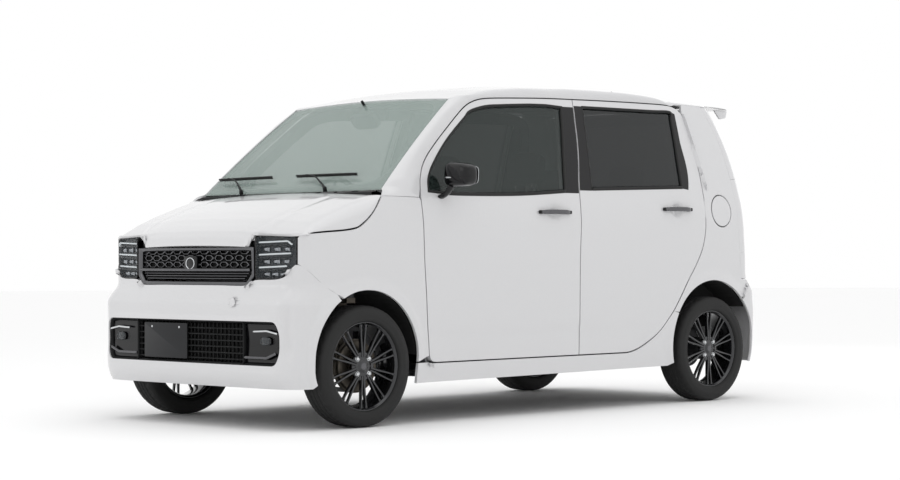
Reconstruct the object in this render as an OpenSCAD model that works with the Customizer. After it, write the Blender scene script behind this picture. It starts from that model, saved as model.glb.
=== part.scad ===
// Kei car: a tall five-door light passenger car, 3.4 m long.
// Millimetres. +X forward, +Y to the car's left, +Z up; origin on the ground under the middle of the body.

/* [Body] */
// Overall length of the body
body_l = 3395; // [3200:5:3600]
// Overall width over the wheel arch lips
body_w = 1475; // [1400:5:1560]
// Height of the roof's crown above the ground
roof_h = 1675; // [1640:5:1760]
// Height of the lower edge of the skirts and bumpers
skirt_z = 190; // [170:5:215]
// Gap between a moving panel and its neighbour
panel_gap = 6; // [5:0.5:8]
// Seam between two fixed panels
seam = 0.8; // [0.4:0.1:0.9]
// Thickness of a whole door, skin to trim
door_t = 45; // [35:1:48]
// Thickness of a fixed outer panel with its inner flange
panel_t = 16; // [8:1:20]
// Thickness of the window glass
glass_t = 5; // [3:0.5:8]

/* [Wheels] */
// Distance between the front and rear axles
wheelbase = 2520; // [2500:5:2540]
// Distance from the front of the body to the front axle
front_overhang = 472; // [465:1:480]
// Distance between the centres of the tyres of one axle
track = 1306; // [1280:2:1310]
// Outer radius of a tyre
tyre_r = 281; // [265:1:290]
// Width of a tyre
tyre_w = 164; // [145:1:170]
// Radius of the rim's flange
rim_r = 206; // [190:1:215]
// Distance from the middle of a front tyre in to its steering axis
kingpin_in = 43; // [35:1:50]

/* [Hidden] */
$fn = 48;

front_x = body_l / 2;
rear_x = -body_l / 2;
axle_f = front_x - front_overhang;
axle_r = axle_f - wheelbase;
half_width = body_w / 2;
wheel_y = track / 2;
kingpin_y = wheel_y - kingpin_in;
front_arch_r = tyre_r + 37;
rear_arch_r = tyre_r + 59;
arch_f = [axle_f - 8, tyre_r + 33];     // centres of the arch openings, as [x, z]
arch_r = [axle_r - 8, tyre_r + 29];
door_bottom = skirt_z + 95;
hair = 0.4;                             // clearance of pieces that rest on one another
frame_depth = door_t + 8;               // the door's seal flange lies this far under the skin
floor_top = door_bottom - panel_gap - 40;

// ---------- shape functions of the outer skin ----------

function ramp(v, a, b) = let (t = min(1, max(0, (v - a) / (b - a)))) t * t * (3 - 2 * t);
function sq(v) = v * v;
function lerp(a, b, t) = a + (b - a) * t;

// Smooth curve through points, by Catmull-Rom; q runs from 0 to len(p) - 1.
function through(p, q) =
    let (n = len(p) - 1, i = min(n - 1, max(0, floor(q))), t = q - i,
         a = p[max(0, i - 1)], b = p[i], c = p[i + 1], d = p[min(n, i + 2)])
    0.5 * (2 * b + (c - a) * t + (2 * a - 5 * b + 4 * c - d) * t * t + (3 * b - a - 3 * c + d) * t * t * t);

// Value at v of a smooth curve through [v, value] pairs in rising order of v.
function graph(p, v, i = 0) =
    v <= p[0][0] ? p[0][1] :
    i >= len(p) - 1 ? p[len(p) - 1][1] :
    v > p[i + 1][0] ? graph(p, v, i + 1) :
    through(p, i + (v - p[i][0]) / (p[i + 1][0] - p[i][0]))[1];

// 1 on the bumper, 0 above it.
function bumper_step(z) = 1 - ramp(z, 565, 665);

// Half width of the body at a height: slight belly, rounded shoulder, then tumblehome.
function section_y(z) = half_width - 14 * sq(max(0, 900 - z) / 600)
    - (z > 900 ? sq(min(z - 900, 200)) / 1800 : 0)
    - 0.222 * max(0, z - 1100) - 0.0001 * sq(max(0, z - 1350));

// Outward swell of the wheel arch lips.
function flare(x, z) =
    let (df = norm([x, z] - arch_f) - front_arch_r, dr = norm([x, z] - arch_r) - rear_arch_r)
    11 * (1 - ramp(df, 8, 62)) + 8 * (1 - ramp(dr, 8, 62));

// Half width of the side at x, z, with the plan taper to both ends.
function side_y(x, z) = min(half_width, section_y(z)
    - sq(max(0, x - front_x + 997)) / 21000 * (1 - 0.8 * bumper_step(z))
    - sq(max(0, rear_x + 797 - x)) / 32000 * (1 - bumper_step(z))
    - max(0, z - 1100) / 450 * sq(max(0, x - 100)) / 10000
    + flare(x, z));

// Front face at the centreline, and the tail.
function nose_x(z) = front_x - 14 * (1 - bumper_step(z)) - 26 * sq(max(0, skirt_z + 80 - z) / 80);
TAIL = [[190, 18], [260, 2], [420, 0], [590, 4], [665, 44], [760, 50], [910, 62], [1070, 70], [1240, 86],
    [1380, 122], [1510, 178], [1620, 240]];
function tail_x(z) = rear_x + graph(TAIL, z);
nose_r = 110;
tail_r = 60;
function nose_bow(z) = lerp(0.00013, 0.00003, bumper_step(z));
tail_bow = 0.00004;

// The skin's plan curve at height z. u is x on the flat of the side, and goes on past it round each corner.
function nose_start(z) = nose_x(z) - nose_r - nose_bow(z) * sq(half_width - nose_r);
function tail_start(z) = tail_x(z) + tail_r + tail_bow * sq(half_width - 80 - tail_r);
function nose_end(z) = let (s = nose_start(z)) s + nose_r * PI / 2 + side_y(s, z) - nose_r;
function tail_end(z) = let (s = tail_start(z)) s - tail_r * PI / 2 - side_y(s, z) + tail_r;
function skin(u, z) =
    let (ns = nose_start(z), ts = tail_start(z))
    u > ns ? let (w = side_y(ns, z), a = (u - ns) / nose_r * 180 / PI,
                  y = a < 90 ? w - nose_r + nose_r * cos(a) : w - nose_r - (u - ns - nose_r * PI / 2),
                  x = a < 90 ? ns + nose_r * sin(a) : ns + nose_r)
             [x + nose_bow(z) * (sq(w - nose_r) - sq(min(y, w - nose_r))), y, z] :
    u < ts ? let (w = side_y(ts, z), a = (ts - u) / tail_r * 180 / PI,
                  y = a < 90 ? w - tail_r + tail_r * cos(a) : w - tail_r - (ts - u - tail_r * PI / 2),
                  x = a < 90 ? ts - tail_r * sin(a) : ts - tail_r)
             [x - tail_bow * (sq(w - tail_r) - sq(min(y, w - tail_r))), y, z] :
    [u, side_y(u, z), z];

// Point t below the skin, along its normal.
function under(u, z, t) =
    let (e = 2, p = skin(u, z), du = skin(u + e, z) - skin(u - e, z), dz = skin(u, z + e) - skin(u, z - e),
         n = cross(dz, du))
    p - t * n / norm(n);

// The same, by distance from the centreline across the nose or the tail.
function mirrored(p, s) = [p[0], s < 0 ? -p[1] : p[1], p[2]];
function nose(a, z, t) = mirrored(under(nose_end(z) - abs(a), z, t), a);
function tail(a, z, t) = mirrored(under(tail_end(z) + abs(a), z, t), a);

// ---------- curves ----------

function arc(c, r, a0, a1, n) = [for (i = [0:n]) c + r * [cos(lerp(a0, a1, i / n)), sin(lerp(a0, a1, i / n))]];
function reversed(p) = [for (i = [len(p) - 1:-1:0]) p[i]];
function slice(p, a, b) = [for (i = [a:b]) p[i]];
function lengths(p, i = 0, s = 0) = i >= len(p) - 1 ? [s] : concat([s], lengths(p, i + 1, s + norm(p[i + 1] - p[i])));
function at_length(p, l, s, i = 0) =
    i >= len(p) - 2 || l[i + 1] >= s ? lerp(p[i], p[i + 1], (s - l[i]) / max(0.000001, l[i + 1] - l[i]))
    : at_length(p, l, s, i + 1);
// The polyline resampled at n even steps.
function even(p, n) = let (l = lengths(p), total = l[len(l) - 1])
    [for (i = [0:n]) at_length(p, l, total * min(0.999999, i / n))];
// The same with n points, the last of the line left off.
function chain(p, n) = slice(even(p, n), 0, n - 1);
function unit(v) = v / max(0.000001, norm(v));
function left(v) = [-v[1], v[0]];
// Moves an open line to its left by d, with mitred corners.
function moved(p, d) = let (m = len(p) - 1) [for (i = [0:m])
    let (a = left(unit(p[max(1, i)] - p[max(1, i) - 1])), b = left(unit(p[min(m - 1, i) + 1] - p[min(m - 1, i)])))
    p[i] + d * (a + b) / (1 + a * b)];
// The same for a closed line.
function grown(p, d) = let (m = len(p)) slice(moved(concat([p[m - 1]], p, [p[0]]), d), 1, m);
// Grid of rows between two lines, at the given fractions.
function rows(a, b, f) = [for (t = f) [for (i = [0:len(a) - 1]) lerp(a[i], b[i], t)]];
function corner(a, b, c, r, n) =
    let (k = min(r, 0.45 * norm(a - b), 0.45 * norm(c - b)), s = b + k * unit(a - b), e = b + k * unit(c - b))
    [for (i = [0:n]) lerp(lerp(s, b, i / n), lerp(b, e, i / n), i / n)];
// Closed outline with its corners rounded.
function rounded(p, r, n = 3) = let (m = len(p)) [for (i = [0:m - 1])
    each corner(p[(i + m - 1) % m], p[i], p[(i + 1) % m], r, n)];
function flat(g) = [for (r = g) each r];

// ---------- outlines on the side, as [x, z]; the doors' edges are shared by their neighbours ----------

SPLIT = [[285, -237], [445, -233], [763, -231], [919, -239], [1100, -251], [1309, -291], [1480, -311], [1590, -321]];
SPLIT_Z = [door_bottom, 445, 620, 790, 940, 1090, 1230, 1400, 1583];
function split_line(d) = [for (z = SPLIT_Z) [graph(SPLIT, z) + d, z]];
// Front door's edge, from the split forwards along the roof, down the pillar and the front to the bottom.
FRONT_TOP = [[-190, 1581], [-79, 1578], [69, 1572], [200, 1566], [300, 1560], [365, 1551]];
FRONT_PILLAR = [[420, 1534], [468, 1509], [530, 1463], [592, 1413], [655, 1362], [718, 1309], [776, 1256],
    [820, 1202], [848, 1146], [862, 1096]];
FRONT_LEADING = [[866, 1050], [862, 942], [855, 768], [844, 627], [833, 471], [824, 390], [816, 318],
    [800, door_bottom + 6], [770, door_bottom]];
// Rear door's edge, from the split back along the roof, down and forwards round the wheel to the bottom.
REAR_TOP = [[-500, 1586], [-692, 1588], [-900, 1589], [-1050, 1588], [-1110, 1583]];
REAR_BACK = [[-1154, 1569], [-1185, 1545], [-1203, 1510], [-1215, 1465], [-1231, 1373], [-1241, 1270], [-1246, 1180],
    [-1245, 1070], [-1240, 960], [-1230, 890], [-1210, 826]];
REAR_WHEEL = [[-1183, 778], [-1150, 730], [-1110, 680], [-1068, 627], [-1015, 558], [-965, 492], [-922, 446],
    [-870, 398], [-810, 358], [-745, 325], [-690, 303], [-640, door_bottom + 5], [-600, door_bottom]];

front_loop = concat(split_line(panel_gap / 2), FRONT_TOP, FRONT_PILLAR, FRONT_LEADING,
    chain([[600, door_bottom], [-230, door_bottom]], 6));
rear_loop = concat(split_line(-panel_gap / 2), REAR_TOP, REAR_BACK, REAR_WHEEL,
    [[-480, door_bottom], [-360, door_bottom]]);
front_window = concat(even([[-148, 1112], [-226, 1541]], 8),
    slice(even([[-226, 1541], [-69, 1546], [200, 1532], [356, 1517], [431, 1494]], 6), 1, 6),
    slice(even([[431, 1494], [620, 1346], [760, 1205], [806, 1130], [812, 1094]], 10), 1, 10),
    slice(even([[812, 1094], [613, 1086], [200, 1092], [-148, 1112]], 15), 1, 14),
    []);
rear_window = concat(even([[-352, 1127], [-388, 1549]], 8),
    slice(even([[-388, 1549], [-1094, 1553]], 5), 1, 5),
    slice(even([[-1094, 1553], [-1078, 1149]], 11), 1, 11),
    slice(even([[-1078, 1149], [-352, 1127]], 16), 1, 15));

// ---------- solids ----------

// Closed solid between an outer and an inner grid of points.
module slab(outer, inner, looped = false) {
    count = len(outer);
    cols = len(outer[0]);
    n = count * cols;
    steps = looped ? cols : cols - 1;
    j0 = floor((count - 1) / 2);
    i0 = floor(cols / 2);
    e = cross(outer[j0][i0 + 1] - outer[j0][i0], outer[j0 + 1][i0] - outer[j0][i0]);
    flip = e * (inner[j0][i0] - outer[j0][i0]) < 0;
    function quad(a, b, c, d) = flip ? [[a, c, b], [a, d, c]] : [[a, b, c], [a, c, d]];
    function at(j, i) = j * cols + i % cols;
    faces = concat(
        [for (j = [0:count - 2], i = [0:steps - 1]) each quad(at(j, i), at(j, i + 1), at(j + 1, i + 1), at(j + 1, i))],
        [for (j = [0:count - 2], i = [0:steps - 1])
            each quad(n + at(j, i), n + at(j + 1, i), n + at(j + 1, i + 1), n + at(j, i + 1))],
        [for (i = [0:steps - 1]) each quad(at(0, i + 1), at(0, i), n + at(0, i), n + at(0, i + 1))],
        [for (i = [0:steps - 1])
            each quad(at(count - 1, i), at(count - 1, i + 1), n + at(count - 1, i + 1), n + at(count - 1, i))],
        looped ? [] : [for (j = [0:count - 2]) each quad(at(j, 0), at(j + 1, 0), n + at(j + 1, 0), n + at(j, 0))],
        looped ? [] : [for (j = [0:count - 2])
            each quad(at(j + 1, steps), at(j, steps), n + at(j, steps), n + at(j + 1, steps))]);
    polyhedron(concat(flat(outer), flat(inner)), faces, convexity = 8);
}

// Part of the side, nose or tail between depths under the skin; a depth may be a list, one for each row.
function depth(t, j) = is_list(t) ? t[j] : t;
function side_grid(g, t) = [for (j = [0:len(g) - 1]) [for (q = g[j]) under(q[0], q[1], depth(t, j))]];
function nose_grid(g, t) = [for (j = [0:len(g) - 1]) [for (q = g[j]) nose(q[0], q[1], depth(t, j))]];
function tail_grid(g, t) = [for (j = [0:len(g) - 1]) [for (q = g[j]) tail(q[0], q[1], depth(t, j))]];
module side_slab(g, t0, t1, looped = false) { slab(side_grid(g, t0), side_grid(g, t1), looped); }
module nose_slab(g, t0, t1, looped = false) { slab(nose_grid(g, t0), nose_grid(g, t1), looped); }
module tail_slab(g, t0, t1, looped = false) { slab(tail_grid(g, t0), tail_grid(g, t1), looped); }

// Grid that fills a closed outline of an even number of points: rungs between its two halves.
function ladder(p, k0 = 1) = let (n = len(p), h = n / 2)
    [for (k = [k0:h - k0]) [p[k % n], lerp(p[k % n], p[(n - k) % n], 0.5), p[(n - k) % n]]];

// Grid moved inwards (away from the side its rows and columns turn to) by t.
function sunk(g, t) = let (m = len(g) - 1, c = len(g[0]) - 1) [for (j = [0:m]) [for (i = [0:c])
    let (du = g[j][min(c, i + 1)] - g[j][max(0, i - 1)], dv = g[min(m, j + 1)][i] - g[max(0, j - 1)][i])
    g[j][i] - t * unit(cross(du, dv))]];
module sheet(g, t0, t1) { slab(sunk(g, t0), sunk(g, t1)); }

module both_sides() {
    children();
    mirror([0, 1, 0]) children();
}
module along_x(x0, x1) { translate([x0, 0, 0]) rotate([90, 0, 90]) linear_extrude(x1 - x0) children(); }
module along_y(y0, y1) { translate([0, y1, 0]) rotate([90, 0, 0]) linear_extrude(y1 - y0) children(); }
module box(a, b) { translate(a) cube(b - a); }
module rod(a, b, r) {
    d = b - a;
    translate(a) rotate([0, acos(d[2] / norm(d)), atan2(d[1], d[0])]) cylinder(h = norm(d), r = r);
}
// Ring about an axis along Y, at x, z.
module hoop(x, z, y0, y1, r0, r1) {
    translate([x, y0, z]) rotate([-90, 0, 0]) difference() {
        cylinder(h = y1 - y0, r = r1);
        translate([0, 0, -1]) cylinder(h = y1 - y0 + 2, r = r0);
    }
}

// ---------- doors ----------

BAND = [0, 0.22, 0.6, 1];
module front_door() {
    side_slab(rows(front_window, front_loop, BAND), 0, door_t, true);
    door_handle(-44, 1003);
}
module rear_door() {
    side_slab(rows(rear_window, rear_loop, BAND), 0, door_t, true);
    door_handle(-1004, 1028);
}
// Pull handle, standing on two feet a hair off the skin.
module door_handle(x, z) {
    y = side_y(x, z);
    slope = (side_y(x + 100, z) - side_y(x - 100, z)) / 200;
    translate([x, y + 0.6, z - 13]) rotate([0, 0, atan(slope)]) linear_extrude(26)
        polygon([[-124, 0], [-100, 0], [-92, 14], [92, 14], [100, 0], [124, 0], [118, 24], [95, 30], [-95, 30], [-118, 24]]);
}
// Pane between a belt line and a top line.
module door_glass(low, high) { side_slab(rows(low, high, [0, 0.25, 0.5, 0.75, 1]), 9, 9 + glass_t); }
module front_glass() {
    p = grown(front_window, -0.9);
    door_glass(even(concat([p[0]], reversed(slice(p, 24, 38))), 15), even(slice(p, 8, 23), 15));
}
module rear_glass() {
    p = grown(rear_window, 0.9);
    door_glass(even(concat([p[0]], reversed(slice(p, 24, 39))), 8), even(slice(p, 8, 13), 8));
}

module front_door_left() { color("white") front_door(); }
module front_door_right() { color("white") mirror([0, 1, 0]) front_door(); }
module rear_door_left() { color("white") rear_door(); }
module rear_door_right() { color("white") mirror([0, 1, 0]) rear_door(); }
module front_glass_left() { color([0.3, 0.35, 0.35, 0.6]) front_glass(); }
module front_glass_right() { color([0.3, 0.35, 0.35, 0.6]) mirror([0, 1, 0]) front_glass(); }
module rear_glass_left() { color([0.2, 0.2, 0.2, 0.7]) rear_glass(); }
module rear_glass_right() { color([0.2, 0.2, 0.2, 0.7]) mirror([0, 1, 0]) rear_glass(); }

// ---------- fixed side panels ----------

door_line = concat(FRONT_LEADING, [[400, door_bottom], [100, door_bottom], [-237, door_bottom], [-480, door_bottom]],
    reversed(REAR_WHEEL), reversed(REAR_BACK), reversed(REAR_TOP), [[-321, 1583]], FRONT_TOP, FRONT_PILLAR);

module side_frame() {
    inner = grown(door_line, -40);
    band = [inner, grown(door_line, panel_gap), grown(door_line, panel_gap + 3), grown(door_line, panel_gap + 14)];
    d = panel_t + 9;
    side_slab(band, [frame_depth, frame_depth, d, d], frame_depth + 14, true);
    pillar_z = [250, 450, 650, 850, 1050, 1250, 1450, 1590];
    side_slab([for (x = [-52, 52]) [for (z = pillar_z) [graph(SPLIT, z) + x, z]]],
        frame_depth + 14 + hair, frame_depth + 34);
    // hinge leaves, a hair behind the doors' inner faces
    for (q = [FRONT_LEADING[4], FRONT_LEADING[3] - [2, 0], [graph(SPLIT, 445) - 6, 445], [graph(SPLIT, 620) - 6, 620]]) {
        y = under(q[0], q[1], door_t)[1] - 0.9;
        box([q[0] - 12, y - (q[0] > 0 ? 10 : 24), q[1] - 5], [q[0] - 2, y, q[1] + 5]);
    }
}
module side_frames() { color("gainsboro") both_sides() side_frame(); }

function arch_line(c, r, a0, a1, n) = arc(c, r, a0, a1, n);
lamp_front = 25;       // the tail lamp wraps this far round onto the side
LAMP_Z = [800, 1200];
gate_a = 556;          // half width of the tailgate along the tail
function tail_u(a, z) = tail_end(z) + a;
quarter_edge = let (e = moved(concat([[-1066, 1588]], REAR_BACK, slice(REAR_WHEEL, 0, 6)), -panel_gap - 0.6))
    reversed(slice(e, 2, 17));
// Front piece round the wheel and up to the roof, then the wraps round the corner above and below the lamp.
module rear_quarter() {
    edge = lamp_front + seam;
    top = [[-1200, 1585], [-1270, 1585], [-1345, 1584], [tail_start(1580) + edge + 1, 1580]];
    back = [for (z = [1500, 1400, 1300, 1200, 1100, 1000, 900, 800, 720, 656]) [tail_start(z) + edge, z]];
    joint = [[-1625, 637], [-1600, 613], [-1560, 577]];
    outer = concat(quarter_edge, top, back, joint);
    // how far round the arch each point of the outer line is tied
    angles = [for (a = [[31, 75, 6], [79, 106, 10], [107, 113, 4], [115, 132, 10], [133, 137, 3]])
        for (i = [0:a[2] - 1]) lerp(a[0], a[1], i / (a[2] - 1))];
    inner = [for (a = angles) arch_r + rear_arch_r * [cos(a), sin(a)]];
    side_slab(rows(inner, outer, [0, 0.06, 0.16, 0.36, 0.65, 1]), 0, panel_t);
}
module quarter_wraps() {
    for (zs = [[1580, 1500, 1400, 1300, LAMP_Z[1] + seam], [LAMP_Z[0] - seam, 720, 656]])
        side_slab([for (z = zs) [for (k = [0:6]) [lerp(tail_start(z) + lamp_front - (z > 1550 ? 1 : 0), tail_u(gate_a, z), k / 6), z]]],
            0, panel_t);
}
module rear_quarters() {
    color("white") {
        resize([0, 0, 0]) difference() {
            rear_quarter();
            translate([-1390, 600, 1024]) rotate([-90, 0, 0]) cylinder(h = 300, r = 89, $fn = 32);
        }
        mirror([0, 1, 0]) rear_quarter();
        both_sides() quarter_wraps();
        // filler pocket behind the lid
        translate([-1390, side_y(-1390, 1024) - 62, 1024]) rotate([-90, 0, 0]) difference() {
            cylinder(h = 36, r = 88);
            translate([0, 0, 6]) cylinder(h = 60, r = 84);
        }
        translate([-1390, side_y(-1390, 1024) - 55.5, 1024]) rotate([-90, 0, 0]) cylinder(h = 22, r = 28);
    }
}
module fuel_lid() {
    a = [for (i = [0:31]) [-1390 + 83 * cos(i * 360 / 32), 1024 + 83 * sin(i * 360 / 32)]];
    y = side_y(-1390, 1024);
    color("white") {
        side_slab(ladder(a), 0, 8);
        box([-1340, y - 20, 1016], [-1330, y - 8.8, 1032]);
        box([-1340, y - 26, 1016], [-1306.9, y - 20, 1032]);
    }
}

BONNET_SEAM = [[1118, 1068], [1154, 1021], [1185, 985], [1220, 955], [1270, 924], [1345, 911], [1460, 903], [1588, 893]];
BUMPER_SEAM = [[1400, 615], [1440, 640], [1487, 672], [1540, 713], [1587, 746]];
arch_f_top = 62.5;
module front_fender() {
    f = reversed(slice(moved(concat([FRONT_PILLAR[9]], FRONT_LEADING), panel_gap), 1, 7));
    g = [for (q = f) [q[0] < 866 ? max(q[0], 820) : q[0], max(door_bottom + 8, q[1])]];
    top = [[880, 1053], [950, 1054], [1030, 1055], [1096, 1055]];
    bonnet_edge = moved(BONNET_SEAM, -panel_gap - 10);
    lamp = [[1600, 870], [1600, 810], [1600, 753]];
    low = [for (q = reversed(BUMPER_SEAM)) q + [0, seam + 4]];
    outer = concat(g, top, bonnet_edge, lamp, low);
    inner = arch_line(arch_f, front_arch_r, 180 + asin((arch_f[1] - door_bottom - 6) / front_arch_r), arch_f_top, len(outer) - 1);
    side_slab(rows(inner, outer, [0, 0.06, 0.2, 0.55, 1]), 0, panel_t);
}
module front_fenders() { color("white") both_sides() front_fender(); }

skirt_front = arch_f[0] - front_arch_r;
module side_skirt() {
    top = door_bottom - panel_gap;
    x0 = arch_f[0] - sqrt(sq(front_arch_r) - sq(arch_f[1] - top)) - 1;
    wheel_edge = moved(slice(REAR_WHEEL, 4, 12), -panel_gap);
    up = concat([[x0, top + 5], [822, top + 5], [800, top], [400, top], [0, top], [-400, top]], reversed(slice(wheel_edge, 1, 8)));
    n = len(up) - 1;
    down_flat = even([[skirt_front + 8, skirt_z], [-930, skirt_z + 12]], 6);
    down_arch = arch_line(arch_r, rear_arch_r, -16, 30, n - 7);
    down = concat(down_flat, down_arch);
    side_slab(rows(up, down, [0, 0.5, 1]), 0, panel_t);
}
module side_skirts() { color("white") both_sides() side_skirt(); }

// ---------- front ----------

function fa(u, z) = nose_end(z) - u;
bumper_top = 656;
function half_to_full(h) = concat(h, [for (i = [len(h) - 2:-1:1]) [-h[i][0], h[i][1]]]);
module front_bumper() {
    top = [[0, bumper_top], [200, bumper_top], [400, bumper_top], [447, 680], [560, 683], [610, 690],
        [fa(1650, 700), 705], [fa(1628, 735), 735]];
    side = [for (q = concat([[1612, 749]], reversed(BUMPER_SEAM))) [fa(q[0], q[1]), q[1]]];
    wing = [for (q = arch_line(arch_f, front_arch_r, arch_f_top - 4, -20, 5)) [fa(q[0], q[1]), q[1]]];
    low = [[fa(1540, skirt_z), skirt_z], [fa(1600, skirt_z), skirt_z], [620, skirt_z], [450, skirt_z],
        [300, skirt_z], [150, skirt_z], [0, skirt_z]];
    outer = half_to_full(concat(top, side, wing, low));
    n1 = len(top);
    n2 = len(side) + len(wing);
    inner = half_to_full(concat(chain([[0, 494], [560, 494]], n1), chain([[560, 494], [625, 470], [645, 394],
        [625, 318], [560, 294]], n2), even([[560, 294], [0, 294]], len(low) - 1)));
    color("white") nose_slab(rows(inner, outer, [0, 0.12, 0.5, 1]), 0, panel_t, true);
}
module bumper_grille() {
    d = panel_t + 6;
    color("dimgray") {
        both_sides() box([1612 + hair, 130, 390], [nose(140, 400, d + 24)[0] - 0.5, 150, 402]);
        for (z = [306, 343, 380, 417, 454]) nose_slab([for (k = [0, 1]) [for (i = [0:14]) [lerp(-630, 630, i / 14), z + k * 16]]],
            d + 14, d + 24);
        for (s = [-1, 1]) nose_slab([for (k = [0, 1]) [for (z = [286, 350, 430, 502]) [s * lerp(606, 634, k), z]]], d, d + 14 - hair);
        for (a = [-420, -140, 140, 420]) nose_slab([for (k = [0, 1]) [for (z = [286, 350, 430, 502]) [a + k * 14, z]]],
            d, d + 14 - hair);
    }
}
module front_plate() {
    a0 = -338;
    color("dimgray") along_x(nose_x(400) - 11, nose_x(400) - 3) difference() {
        polygon([[a0, 312], [a0 + 330, 312], [a0 + 330, 477], [a0, 477]]);
        for (s = [-105, 105]) translate([a0 + 165 + s, 458]) circle(r = 3.5);
    }
    color("dimgray") for (s = [-105, 105]) box([1612 + hair, a0 + 165 + s - 20, 325], [nose_x(400) - 11.4, a0 + 165 + s + 20, 340]);
}
module front_grille() {
    top = bumper_top + 172;
    color("dimgray") {
        g = half_to_full([[0, top], [220, top], [436, top], [438, 760], [438, 700], [400, bumper_top + seam], [200, bumper_top + seam],
            [0, bumper_top + seam]]);
        h = half_to_full([[0, top - 16], [210, top - 16], [412, top - 18], [414, 760], [414, 712], [385, 676], [200, 676], [0, 676]]);
        nose_slab([h, g], 1, 24, true);
        x = nose_x(760) - nose_bow(760) * sq(438) - 28;
        along_x(x - 10, x - 2) difference() {
            polygon([[-425, 668], [425, 668], [425, 822], [-425, 822]]);
            for (r = [0:3], c = [0:11]) translate([-396 + c * 68 + (r % 2) * 34, 692 + r * 36])
                polygon([for (i = [0:5]) [27 * cos(i * 60), 15 * sin(i * 60)]]);
        }
        both_sides() box([1612 + hair, 404, 734], [x - 9, 424, 746]);
        both_sides() box([x - 3, 404, 700], [nose(412, 706, 24)[0] - 0.6, 424, 712]);
    }
}
module headlight() {
    x = 1600 + seam;
    outer = [[540, 687], [608, 696], [fa(1654, 711), 711], [fa(1634, 738), 738], [fa(1617, 754), 754],
        [fa(x, 790), 790], [fa(x, 832), 832], [fa(x, 862), 862]];
    // the upper rows start further out, clear of the bonnet's front corner
    g = [for (q = outer) [for (i = [0:5]) [lerp(q[1] < 800 ? 447 : q[1] < 840 ? 478 : 498, q[0], i / 5), q[1]]]];
    color("lightgray") nose_slab(g, 1, 38);
}
module headlights() { both_sides() headlight(); }

// Bonnet: grid from the rear edge to the front edge, rolled over the shoulder to the fenders' seam.
BONNET_F = [0, 0.2, 0.4, 0.6, 0.76, 0.87, 0.94, 0.98, 1];
CROWN = [[0, 1092], [0.2, 1068], [0.4, 1035], [0.6, 1000], [0.76, 966], [0.87, 934], [0.94, 908], [0.98, 878], [1, 840]];
bonnet_rear = 1116;
function bonnet_edge_z(s) = lerp(bumper_top + 180, bumper_top + 249, ramp(abs(s), 0.60, 0.66));
function bonnet_front(s) = let (a = abs(s) * 690, z = bonnet_edge_z(s)) nose(a, z, 2)[0] - 16 * ramp(abs(s), 0.6, 0.66);
function seam_z(x) = graph([for (q = BONNET_SEAM) [q[0], q[1]]], x);
function bonnet_point(s, f) =
    let (k = abs(s), xf = bonnet_front(s), x = lerp(bonnet_rear, xf, f), zc = max(graph(CROWN, f), bonnet_edge_z(s)),
         zs = min(seam_z(x), zc - 1), ye = nose_side(x, zs), y1 = ye - 95,
         a = max(0, (k - 0.8) / 0.2) * 90, yc = min(k, 0.8) / 0.8 * y1,
         z1 = zc - 0.00005 * sq(yc),
         y = k <= 0.8 ? yc : y1 + 95 * sin(a), z = k <= 0.8 ? z1 : zs + (z1 - zs) * cos(a))
    [x, s < 0 ? -y : y, max(z, 0)];
// Half width of the skin at x, z, also round the front corner.
function nose_side(x, z) = let (ns = nose_start(z)) x < ns ? side_y(x, z) :
    skin(ns + nose_r * asin(min(1, (x - ns) / nose_r)) * PI / 180, z)[1];
BONNET_S = [-1, -0.95, -0.9, -0.84, -0.8, -0.66, -0.6, -0.4, -0.2, 0, 0.2, 0.4, 0.6, 0.66, 0.8, 0.84, 0.9, 0.95, 1];
module bonnet() {
    g = [for (f = BONNET_F) [for (s = BONNET_S) bonnet_point(s, f)]];
    color("white") sheet(g, 0, -14);
}

// ---------- roof, pillars, windscreen ----------

ROOF = [[-1460, -38], [-1200, -28], [-800, -7], [-350, 0], [0, -13], [300, -48], [548, -106]];
function roof_crown(x) = lerp(0.000055, 0.00011, ramp(-x, -536, 200));
function roof_z(x, y) = roof_h + graph(ROOF, x) - roof_crown(x) * sq(y);
function roof_y(x) = graph([[-1460, 536], [-1000, 556], [-350, 566], [200, 568], [536, 571]], x);
screen_top = 536;
function screen_point(s, t) =
    let (b = [1068 + 16 * (1 - s * s), 663 * s, 1101], x = screen_top + 12 * (1 - s * s),
         e = [x, 571 * s, roof_z(x, 571 * s) - 1])
    lerp(b, e, t) + 40 * t * (1 - t) * [0.64, 0, 0.77];
SCREEN_T = [0, 0.04, 0.14, 0.28, 0.42, 0.56, 0.7, 0.85, 1];
module windscreen() {
    g = [for (t = SCREEN_T) [for (i = [-6:6]) screen_point(i * 0.164, t)]];
    color([0.6, 0.75, 0.7, 0.4]) sheet(g, 3, 3 + glass_t);
}
ROOF_X = [536, 420, 280, 130, -79, -320, -560, -800, -1040, -1240, -1380, -1456];
module roof_panel() {
    rear_header();
    g = [for (x = ROOF_X) [for (s = [-1, -0.8, -0.5, 0, 0.5, 0.8, 1])
        let (xx = x == 536 ? x + 12 * (1 - s * s) - 6 : x, y = s * (roof_y(x) - 3)) [xx, y, roof_z(xx, y)]]];
    color("white") sheet(g, 0, 12);
}
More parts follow.
